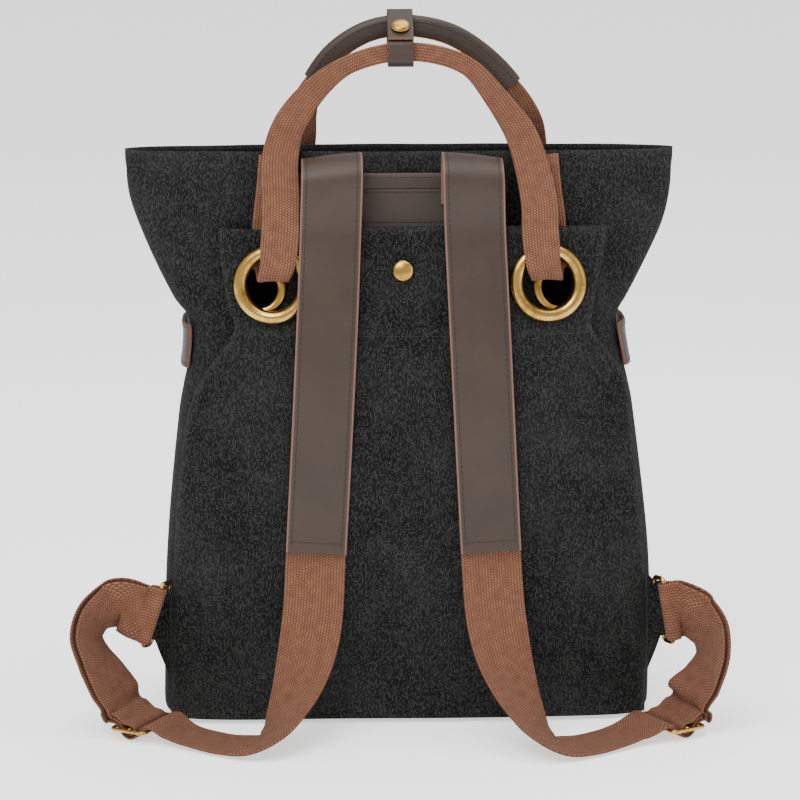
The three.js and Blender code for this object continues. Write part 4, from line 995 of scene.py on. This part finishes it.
strap_lines = []
for sign, side in ((-1, "left"), (1, "right")):
    line, wide, through = leather_route(sign)
    reach = np.linspace(-STRAP_WIDTH / 2, STRAP_WIDTH / 2, STRAP_COLUMNS)
    cup = -STRAP_CUP * (1 - (reach / (STRAP_WIDTH / 2)) ** 2)
    grid = line[:, None] + wide[:, None] * reach[None, :, None] + through[:, None] * (cup * sign)[None, :, None]
    strap = leather_piece(f"strap_{side}_leather", grid, LEATHER, BARE_EDGE)
    settle(strap, "leather", f"strap_leather_{side}")
    row_at = STRAP_WIDTH / 2 - ROW_INSET
    sunk = np.interp(row_at, reach, cup) * sign
    for face in (-1, 1):
        for edge in (-1, 1):
            rim = line + wide * edge * row_at + through * (sunk + face * (LEATHER / 2 + 0.00006))
            strap_lines.append((rim[6:-2], (through * face)[6:-2]))
        end = grid[-4] + through[-4] * face * LEATHER / 2
        strap_lines.append((end[1:-1], np.repeat((through * face)[-4:-3], STRAP_COLUMNS - 2, 0)))
sew("strap_stitches", strap_lines, HIDE_STITCH, "leather")

# The lower half of each strap is tan cotton webbing.
# It falls to the floor, bends outwards, passes the slider, loops up to the ring and comes back.
# It is coarsely woven: ribs along it, with threads over and under them in turn.
HALF_BASE = BASE_WIDTH / 2
FLOOR_GAP = 0.0005
LAYERS_APART = 0.0032
LOOP_APART = 0.0044
LOOP_LEAN = 0.15
FAR_WAY = np.array((0, 1, 0))
SLIDER_BAR = 0.0026
SLIDER_SLOT = 0.010
SLIDER_SIDE_GAP = 0.0008
SLIDER_CORNER = 0.003
RING_WIRE = 0.0032
RING_OPENING = 0.009
RING_SIDE_GAP = 0.0008
RING_HEIGHT = 0.076
RING_TURN = 65
RING_CORNER = 0.0035
TAB_STAND = 0.005
TAB_MIDDLE = 0.065
TAB_ROOT_HALF = 0.033
TAB_END_HALF = 0.018
TAB_COLUMNS = 24
SLIDER_HEADING = 30
WEBBING_REST = FLOOR_GAP + WEBBING / 2
BAR_WRAP = SLIDER_BAR * 0.72 + GAP + WEBBING / 2
UNDER_BAR = -(BAR_WRAP + LAYERS_APART - 0.0006)
SLIDER_PITCH = SLIDER_BAR + SLIDER_SLOT
OVER_BAR = SLIDER_BAR / 2 + GAP + WEBBING / 2 + 0.0007

# Side as a share of half the base, out of its depth, up of the height; turn and lift across, and forward.
FALL = [
    (0.368, 0.65, 0.205, 0, 0, 0),
    (0.399, 0.755, 0.135, 20, 0, 0.15),
    (0.45, 0.89, 0.076, 46, 2, 0.4),
    (0.51, 1.0, 0.036, 75, 0, 0.7),
    (0.59, 1.03, 0.013, 95, 0, 1),
    (0.69, 0.96, 0.004, 105, 0, 1),
    (0.8, 0.86, 0.003, 113, 2, 1),
    (0.9, 0.765, 0.008, 119, 3, 1),
]
LOOP_LEFT = [
    (1.155, 0.598, 0.058, 124, 1),
    (1.2, 0.617, 0.09, 121, -2),
    (1.25, 0.63, 0.13, 115, 9),
    (1.277, 0.617, 0.168, 114, 20),
    (1.25, 0.583, 0.2, 113, 36),
    (1.178, 0.56, 0.219, 108, 58),
    (1.135, 0.565, 0.222, 90, 70),
]
LOOP_RIGHT = [
    (1.16, 0.69, 0.056, 122, 2),
    (1.205, 0.71, 0.088, 118, 7),
    (1.245, 0.7, 0.13, 112, 18),
    (1.238, 0.65, 0.168, 116, 36),
    (1.195, 0.6, 0.19, 114, 58),
    (1.16, 0.585, 0.2, 98, 72),
]
STRAPS = [
    {"side": "left", "sign": -1, "forward": 0.0, "slider_side": 1.046, "slider_out": 0.66,
     "loop": LOOP_LEFT, "ring_clear": 0.0023, "ring_lean": 18},
    {"side": "right", "sign": 1, "forward": 0.009, "slider_side": 1.07, "slider_out": 0.735,
     "loop": LOOP_RIGHT, "ring_clear": 0.004, "ring_lean": 10},
]

RIB = 0.0019
PICK = 0.0017
webbing_weave, given, gone = shader_group("webbing weave", {"Cloth": "Vector"}, ("Height", "Shade"))
cloth = given.outputs["Cloth"]
scaled = vector_maths(webbing_weave, "DIVIDE", cloth, (RIB, PICK, 1.0))
counted = node(webbing_weave, "ShaderNodeSeparateXYZ", {0: scaled})
centred = maths(webbing_weave, "ADD", counted.outputs["X"], 0.5)
skip = maths(webbing_weave, "MULTIPLY", maths(webbing_weave, "FLOOR", centred), 0.5)
rib = sine_squared(webbing_weave, centred, 0.0)
pick = sine_squared(webbing_weave, counted.outputs["Y"], skip)
knots = maths(webbing_weave, "POWER", maths(webbing_weave, "MULTIPLY", rib, pick), 0.6)
uneven = node(webbing_weave, "ShaderNodeTexNoise", {"Vector": cloth, "Scale": 160.0, "Detail": 4.0})
# Shade is painted light on the knots and painted shade between them, made uneven by a noise of real tone.
feed(webbing_weave, gone, {"Height": knots, "Shade": maths(webbing_weave, "MULTIPLY", uneven.outputs["Fac"], knots)})


def webbing_finish(name, low, high):
    """Cotton webbing read from its UV map, across and along in metres: painted shade between the knots and painted
    light on them, uneven in tone by noise.
    """
    cotton = {"Roughness": 0.9, "Sheen Weight": 0.05, "Sheen Roughness": 0.5, "Specular IOR Level": 0.15}
    material, tree, shader = finish(name, cotton)
    flat = node(tree, "ShaderNodeUVMap", uv_map="UVMap")
    woven = node(tree, "ShaderNodeGroup", node_tree=webbing_weave)
    feed(tree, woven, {"Cloth": flat.outputs[0]})
    lit = stretched(tree, woven.outputs["Shade"], 0, 0.6)
    feed(tree, shader, {"Base Color": mix_colour(tree, lit, low, high)})
    relief(tree, shader, woven.outputs["Height"], 0.0004, 0.8)
    return material


BAND_COLUMNS = 17
BAND_STEPS = 10
webbing = webbing_finish("tan webbing", dye(86, 54, 40), dye(144, 99, 76))


def band_section(count):
    """Places round a flat band's section as shares of half its width and half its thickness, its edges rounded."""
    s = np.linspace(-1, 1, count)
    share = np.sign(s) * (1 - (1 - np.abs(s)) ** 1.7)
    height = (1 - np.abs(share) ** 16) ** 0.5
    return np.concatenate([share, share[::-1][1:-1]]), np.concatenate([height, -height[::-1][1:-1]])


def band_piece(name, line, wide, through, width, thickness):
    """Webbing swept along its line, closed at both ends, its UV map across and along in metres."""
    width = np.broadcast_to(width, len(line))
    thickness = np.broadcast_to(thickness, len(line))
    across, height = band_section(BAND_COLUMNS)
    reach = width[:, None] / 2 * across
    lift = thickness[:, None] / 2 * height
    points = line[:, None] + wide[:, None] * reach[..., None] + through[:, None] * lift[..., None]
    uv = np.stack([reach, np.repeat(run_along(line, 0)[:, None], len(across), 1)], -1)
    rows, columns = points.shape[:2]
    caps = [tuple(range(columns))[::-1], tuple((rows - 1) * columns + np.arange(columns))]
    return make_piece(name, points, grid_faces(rows, columns, True), webbing, uv, caps)


def free_place(strap, row, forward=0.0):
    """A place of the free webbing from its shares."""
    return (strap["sign"] * row[0] * HALF_BASE, -row[1] * BASE_DEPTH - forward, WEBBING_REST + row[2] * BODY_HEIGHT)


def across_from(sign, turn, lift):
    """The direction across the webbing, turned in plan from inwards and lifted, in degrees."""
    turned, lifted = math.radians(turn), math.radians(lift)
    level = math.cos(lifted)
    return (-sign * math.cos(turned) * level, -math.sin(turned) * level, math.sin(lifted))


def slider_frame(strap):
    """The slider's middle and its directions along the strap and across it."""
    sign, heading = strap["sign"], math.radians(SLIDER_HEADING)
    middle = (sign * strap["slider_side"] * HALF_BASE, -strap["slider_out"] * BASE_DEPTH, WEBBING_REST - UNDER_BAR)
    along = (sign * math.cos(heading), math.sin(heading), 0)
    return np.array(middle), np.array(along), np.array((sign * math.sin(heading), -math.cos(heading), 0))


def tab_depth(sign, z):
    """The panel's face at its side edge, where a tab is sewn on."""
    return wall_depth(panel_edge(z, sign), z) + PANEL_CLEAR + CANVAS


def ring_frame(strap):
    """The ring's inner and outer bars, the way between them, its long sides' way, and the way off the bag."""
    sign, lean, turn = strap["sign"], math.radians(strap["ring_lean"]), math.radians(RING_TURN)
    half, middle, _, _ = form_at(RING_HEIGHT)
    side = middle + sign * (half + strap["ring_clear"])
    inner = np.array((side, -tab_depth(sign, RING_HEIGHT) - TAB_STAND, RING_HEIGHT))
    outward = np.array((sign * math.cos(lean), 0, math.sin(lean)))
    opening = outward * math.cos(turn) - np.array((0, math.sin(turn), 0))
    long_way = np.array((-sign * math.sin(lean), 0, math.cos(lean)))
    return inner, inner + opening * (RING_OPENING + RING_WIRE), opening, long_way, outward


def layer_of(places, across, offset):
    """The same route moved through its thickness by an offset."""
    line, _, through = route(places, across, 1)
    return line + through * offset


def webbing_route(strap):
    """Behind the leather, down to the floor, through the slider, round the ring and back round the slider's bar."""
    sign = strap["sign"]
    places, across = [], []

    def put(new, facing):
        places.extend(np.asarray(new, float).tolist())
        across.extend(np.broadcast_to(facing, (len(new), 3)).tolist())

    z = np.array([LEATHER_END + STRAP_TUCK, LEATHER_END + STRAP_TUCK / 3, LEATHER_END - STRAP_TUCK / 2])
    x = strap_across(sign, z)
    put(np.stack([x, -panel_depth(x, z) - CANVAS - GAP - WEBBING / 2 - 0.0006, z], -1), (-sign, 0, 0))
    falling = [free_place(strap, r, r[5] * strap["forward"]) for r in FALL]
    put(falling, [across_from(sign, r[3], r[4]) for r in FALL])
    middle, along, facing = slider_frame(strap)

    def threaded(rows):
        return [middle + along * pitches * SLIDER_PITCH + np.array((0, 0, height)) for pitches, height in rows]

    over, under = OVER_BAR, UNDER_BAR
    put(threaded([
        (-1.3, over * 0.9), (-1, over), (-0.84, over * 0.84), (-0.62, over * 0.2),
        (-0.38, under * 0.6), (0, under), (0.38, under * 0.7), (0.64, over * 0.1),
        (0.84, over * 0.84), (1, over), (1.5, over + 0.0006),
    ]), facing)
    _, bar, _, ring_across, outward = ring_frame(strap)
    loop = [free_place(strap, r) for r in strap["loop"]]
    loop += [bar + outward * wires * RING_WIRE for wires in (2.9, 1.5)]
    loop_across = [across_from(sign, r[3], r[4]) for r in strap["loop"]]
    loop_across += [unit(ring_across - LOOP_LEAN * FAR_WAY), ring_across]
    put(layer_of(loop, loop_across, sign * LOOP_APART / 2), loop_across)
    angle = np.radians([100, 50, 0, -50, -100])[:, None]
    radius = RING_WIRE / 2 + GAP + WEBBING / 2 + 0.0005
    put(bar - outward * np.cos(angle) * radius + FAR_WAY * np.sin(angle) * radius, ring_across)
    put(layer_of(loop, loop_across, -sign * LOOP_APART / 2)[::-1], loop_across[::-1])
    turns = np.radians([90, 135, 180, 225, 270])
    put(threaded([
        (1.15, over + 2 * LAYERS_APART - 0.0006), (0.93, over + 2 * LAYERS_APART - 0.0012),
        (0.72, over + LAYERS_APART * 1.1), (0.4, over + LAYERS_APART * 0.2),
        *((math.cos(a) * BAR_WRAP / SLIDER_PITCH, math.sin(a) * BAR_WRAP) for a in turns),
        (0.36, -0.0009), (0.68, over + 0.0008), (1, over + LAYERS_APART - 0.0006),
    ]), facing)
    return route(places, across, BAND_STEPS)


for strap in STRAPS:
    piece = band_piece(f"strap_{strap['side']}_webbing", *webbing_route(strap), STRAP_WIDTH, WEBBING)
    settle(piece, "webbing", f"strap_webbing_{strap['side']}")

# Each slider is a cast brass frame with a middle bar, and each ring a bent brass link.
# The ring hangs in a folded canvas tab that is sewn to the bag's lower side.
WIRE_SIDES = 14
BEND_STEPS = 8


def link_points(half_long, half_short, corner, radius):
    """A round wire carried round a rectangle with round corners, in its own plane."""
    angle = np.concatenate([np.radians(np.linspace(a, a + 90, BEND_STEPS)) for a in (0, 90, 180, 270)])
    sign_x = np.repeat([1, -1, -1, 1], BEND_STEPS)
    sign_y = np.repeat([1, 1, -1, -1], BEND_STEPS)
    out = np.stack([np.cos(angle), np.sin(angle), 0 * angle], -1)
    middle = np.stack([sign_x * (half_short - corner), sign_y * (half_long - corner), 0 * angle], -1) + out * corner
    turn = np.linspace(0, 2 * math.pi, WIRE_SIDES, endpoint=False)
    around = out[:, None] * np.cos(turn)[None, :, None] * radius
    return middle[:, None] + around + np.array((0, 0, 1)) * np.sin(turn)[None, :, None] * radius


def rod_points(start, end, radius):
    """A straight round bar along Y between two ends."""
    y = np.linspace(start, end, 4)
    turn = np.linspace(0, 2 * math.pi, WIRE_SIDES, endpoint=False)
    ring = np.stack([np.cos(turn) * radius, 0 * turn, np.sin(turn) * radius], -1)
    return ring[None] + np.stack([0 * y, y, 0 * y], -1)[:, None]


def metal_piece(name, parts, middle, first, second):
    """Joins tubes of rings in one mesh, each wrapped on itself or capped, and stands them in the given directions."""
    third = np.cross(first, second)
    points, faces, caps, count = [], [], [], 0
    for rings, closed in parts:
        rows, columns = rings.shape[:2]
        faces.append(grid_faces(rows + (1 if closed else 0), columns, True) % (rows * columns) + count)
        if not closed:
            caps.append(tuple(count + np.arange(columns))[::-1])
            caps.append(tuple(count + (rows - 1) * columns + np.arange(columns)))
        points.append(rings.reshape(-1, 3))
        count += rows * columns
    flat = np.vstack(points)
    placed = middle + flat[:, :1] * first + flat[:, 1:2] * second + flat[:, 2:] * third
    return make_piece(name, placed, np.vstack(faces), brass, None, caps)


tab_canvas = canvas_finish("tab canvas", 0.9)


def side_tab(strap):
    """A sheet from the panel's edge to the ring's inner bar, folded round it: rows run from root to end."""
    bar, _, _, ring_across, outward = ring_frame(strap)
    wrap = RING_WIRE / 2 + GAP + CANVAS / 2 + 0.0003
    angle = np.radians([-90, -45, 0, 45, 90, 125])[:, None]
    fold = (outward * np.cos(angle) - FAR_WAY * np.sin(angle)) * wrap
    edges = []
    for end in (-1, 1):
        z = TAB_MIDDLE + end * TAB_ROOT_HALF
        edge = panel_edge(z, strap["sign"]) + strap["sign"] * (GAP + CANVAS)
        root = np.array((edge, -tab_depth(strap["sign"], z), z))
        folded = bar + ring_across * end * TAB_END_HALF + fold
        edges.append(spline(np.vstack([root, (root + folded[0]) / 2, folded]), 4, True))
    share = np.linspace(0, 1, TAB_COLUMNS)[None, :, None]
    return edges[0][:, None] * (1 - share) + edges[1][:, None] * share


for strap in STRAPS:
    side = strap["side"]
    middle, along, facing = slider_frame(strap)
    half_long = STRAP_WIDTH / 2 + SLIDER_SIDE_GAP + SLIDER_BAR / 2
    frame_tube = link_points(half_long, SLIDER_PITCH, SLIDER_CORNER, SLIDER_BAR / 2)
    bar = rod_points(-half_long, half_long, SLIDER_BAR / 2)
    slider = metal_piece(f"slider_{side}", [(frame_tube, True), (bar, False)], middle, along, facing)
    settle(slider, "brass", f"strap_slider_{side}")
    inner, outer, opening, ring_across, _ = ring_frame(strap)
    half_long = STRAP_WIDTH / 2 + RING_SIDE_GAP + RING_WIRE / 2
    link = link_points(half_long, (RING_OPENING + RING_WIRE) / 2, RING_CORNER, RING_WIRE / 2)
    ring = metal_piece(f"ring_{side}", [(link, True)], (inner + outer) / 2, opening, ring_across)
    settle(ring, "brass", f"strap_ring_{side}")
    grid = side_tab(strap)
    place_on = np.stack([grid[..., 0], grid[..., 2]], -1)
    tab = make_piece(f"tab_{side}", grid, grid_faces(*grid.shape[:2], False), tab_canvas, place_on)
    paint_wear(tab, np.zeros(len(tab.data.vertices)))
    thicken(tab, CANVAS, 0, False)
    settle(tab, "canvas", f"side_tab_{side}")

# Both carrying handles are the same webbing, 25 mm wide, and pass through the grommets.
# Their ends are sewn to the bag behind the panels; over the arch they are folded double.
# The hidden side's handle wears a leather grip, folded over its top edge and stitched.
HANDLE_WIDTH = 0.025
GRIP_TALL = 0.0125
GRIP_THICK = 0.0044
HANDLE_RISE = 0.064
HANDLES_APART = 0.021
FRONT_HANDLE_LIFT = 0.015
SLEEVE_WALL = 0.0016
PINCH = 0.3

# Side as a share of half the grommets' spread, down from the rim, and out between wall and panel.
STRAND_BACK = [(0.96, 0.03, 0.3), (0.98, 0.28, 0.25), (1.01, 0.55, 0.4)]
# Side, up as a share of the rise, out as a share of the gap, turn across in degrees, and fold.
ARCH_BACK = [
    (-0.93, 0.02, 0.75, 0, 0.1),
    (-0.84, 0.34, 0.5, -6, 0.3),
    (-0.64, 0.66, 0.2, -30, 0.7),
    (-0.42, 0.87, 0.06, -55, 1),
    (-0.08, 1.0, 0, -86, 1),
    (0.24, 0.98, 0, -104, 1),
    (0.48, 0.84, 0.06, -130, 1),
    (0.68, 0.5, 0.25, -152, 0.7),
    (0.84, 0.14, 0.6, -165, 0.3),
]
ARCH_FRONT = [
    (-0.8, 0.0, 0.75, 0, 0.1),
    (-0.76, 0.3, 0.5, -6, 0.4),
    (-0.66, 0.55, 0.25, -25, 1),
    (-0.5, 0.78, 0.08, -45, 1),
    (-0.25, 0.95, 0, -68, 1),
    (0.02, 1.0, 0, -92, 1),
    (0.32, 0.94, 0, -108, 1),
    (0.55, 0.78, 0.06, -130, 1),
    (0.78, 0.5, 0.25, -140, 1),
    (0.92, 0.16, 0.6, -160, 0.4),
]


def handle_route(side, lift, arch):
    """Up behind the panel, through the grommet, over the arch and back the same way, with the fold all along."""
    places, across, folds = [], [], []

    def behind(sign):
        rows = []
        for share, down, out in STRAND_BACK:
            z = BODY_HEIGHT - down * (BODY_HEIGHT - GROMMET_HEIGHT)
            x = GROMMET_SHIFT + sign * share * GROMMET_SPREAD / 2
            near = wall_depth(x, min(z, BODY_HEIGHT)) + GAP
            cloth = panel_depth(x, z) - GAP if z < PANEL_TOP else near + POCKET_SLACK
            depth = (near + WEBBING / 2) * (1 - out) + (cloth - WEBBING / 2) * out
            rows.append(((x, side * depth, z), (-sign, 0, 0), 0))
        return rows

    def through(sign):
        seat_x, seat_z, seat_depth, slope_x, slope_z = SEATS[0 if sign < 0 else 1]
        rise = GROMMET_HOLE / 2
        front = CANVAS + SEAT + GROMMET_PROUD + GAP + WEBBING / 2
        back = -(SEAT + FLANGE + GAP + WEBBING / 2)
        # Shift in millimetres, climb as a share of the hole's radius, depth and fold.
        rows = [
            (2, 0.85, back - 0.0007, 0.15), (1, 0.5, back - 0.0001, PINCH), (0, 0.22, CANVAS / 2, PINCH),
            (-1, 0.42, front * 0.75, PINCH), (-3, 0.85, front + 0.0008, 0.15), (-4, 1.4, front + 0.0006, 0),
            (-5, 2.1, front, 0), (-5.5, 3.1, front - 0.0015, 0),
        ]
        placed = []
        for shift, climb, depth, fold in rows:
            out = side * (seat_depth + slope_z * climb * rise + depth)
            place = (seat_x + sign * shift * 0.001, out, seat_z + climb * rise)
            placed.append((place, (-sign, -sign * side * slope_x, 0), fold))
        return placed

    over = []
    near = wall_depth(GROMMET_SHIFT + GROMMET_SPREAD / 2, BODY_HEIGHT) + WEBBING + 2 * GAP
    for share, up, out, turn, fold in arch:
        x = share * GROMMET_SPREAD / 2 + GROMMET_SHIFT * abs(share)
        a = math.radians(turn)
        depth = HANDLES_APART / 2 + out * near
        z = BODY_HEIGHT + up * (HANDLE_RISE + lift)
        over.append(((x, side * depth, z), (math.cos(a), 0, math.sin(a)), fold))
    for row in [*behind(-1), *through(-1), *over, *through(1)[::-1], *behind(1)[::-1]]:
        places.append(row[0])
        across.append(row[1])
        folds.append(row[2])
    last = len(folds) - 1
    fold = np.interp(np.linspace(0, last, last * BAND_STEPS + 1), np.arange(len(folds)), folds)
    return (*route(places, across, BAND_STEPS), fold)


HANDLES = [(-1, "handle_back", 0, ARCH_BACK), (1, "handle_front", FRONT_HANDLE_LIFT, ARCH_FRONT)]
for side, name, lift, arch in HANDLES:
    line, wide, through, fold = handle_route(side, lift, arch)
    width = HANDLE_WIDTH + (GRIP_TALL - HANDLE_WIDTH) * fold
    thickness = WEBBING + (GRIP_THICK - WEBBING) * fold
    settle(band_piece(name + "_webbing", line, wide, through, width, thickness), "webbing", name)

# The front handle's route is the last one made: the grip wraps it where it is folded double.
gripped = fold > 0.99
line, wide, through = line[gripped], wide[gripped], through[gripped]
top, foot = -GRIP_TALL / 2 - GAP - SLEEVE_WALL / 2, GRIP_TALL / 2 - 0.002
half = GRIP_THICK / 2 + GAP + SLEEVE_WALL / 2
bend = np.radians(np.linspace(0, 180, 13))
flank = np.linspace(foot, top + half, 6)[:-1]
sleeve_across = np.concatenate([flank, top + half - half * np.sin(bend), flank[::-1]])[None, :, None]
sleeve_through = np.concatenate([0 * flank - half, -half * np.cos(bend), 0 * flank + half])[None, :, None]
grid = line[:, None] + wide[:, None] * sleeve_across + through[:, None] * sleeve_through
settle(leather_piece("grip", grid[:, ::-1], SLEEVE_WALL), "leather", "handle_grip")
grip_lines = []
for face in (-1, 1):
    for share in (foot - 0.0022, top + 0.0035):
        places = line + wide * share + through * face * (half + SLEEVE_WALL / 2)
        grip_lines.append((places, through * face))
sew("grip_stitches", grip_lines, HIDE_STITCH, "leather")

# A small leather keeper holds both handles together, closed by a brass stud on its tongue.
# It is one strip of thinner hide, wrapped round both grips.
KEEPER_WIDTH = 0.017
KEEPER_STUD = 0.0125
KEEPER_REACH = 0.018
# Out and up as shares of its reach, from the tongue's tip over both grips and back under the tongue.
KEEPER = [
    (-0.83, -0.03), (-0.5, 0.17), (-0.11, 0.44), (0.22, 0.75), (0.5, 0.89), (0.83, 0.84),
    (1.02, 0.56), (1.02, 0.06), (0.81, -0.26), (0.44, -0.32), (0, -0.61), (-0.31, -0.92),
    (-0.58, -1.04), (-0.81, -0.89), (-0.83, -0.56), (-0.81, -0.22), (-0.61, -0.08), (-0.33, 0.01),
]
KEEPER_SINK = 0.005
KEEPER_STEPS = 8
TONGUE_AT = 12
keeper_base = BODY_HEIGHT + HANDLE_RISE + FRONT_HANDLE_LIFT - KEEPER_SINK
places = [(0, out * KEEPER_REACH, keeper_base + up * KEEPER_REACH) for out, up in KEEPER]
line, wide, through = route(places, [(1, 0, 0)] * len(places), KEEPER_STEPS)
reach = np.linspace(-KEEPER_WIDTH / 2, KEEPER_WIDTH / 2, 8)
grid = line[:, None] + wide[:, None] * reach[None, :, None]
settle(leather_piece("keeper", grid, SLEEVE_WALL), "leather", "handle_keeper")
way = line[TONGUE_AT + 1] - line[TONGUE_AT - 1]
tongue_normal = unit(np.array((0, -way[2], way[1])))
stud_foot = line[TONGUE_AT] - tongue_normal * SLEEVE_WALL / 2
stud = stud_profile(KEEPER_STUD, STUD_PROUD * 0.8, SLEEVE_WALL)
settle(lathe_piece("keeper_stud_cap", stud, stud_foot, tongue_normal), "brass", "keeper_stud")
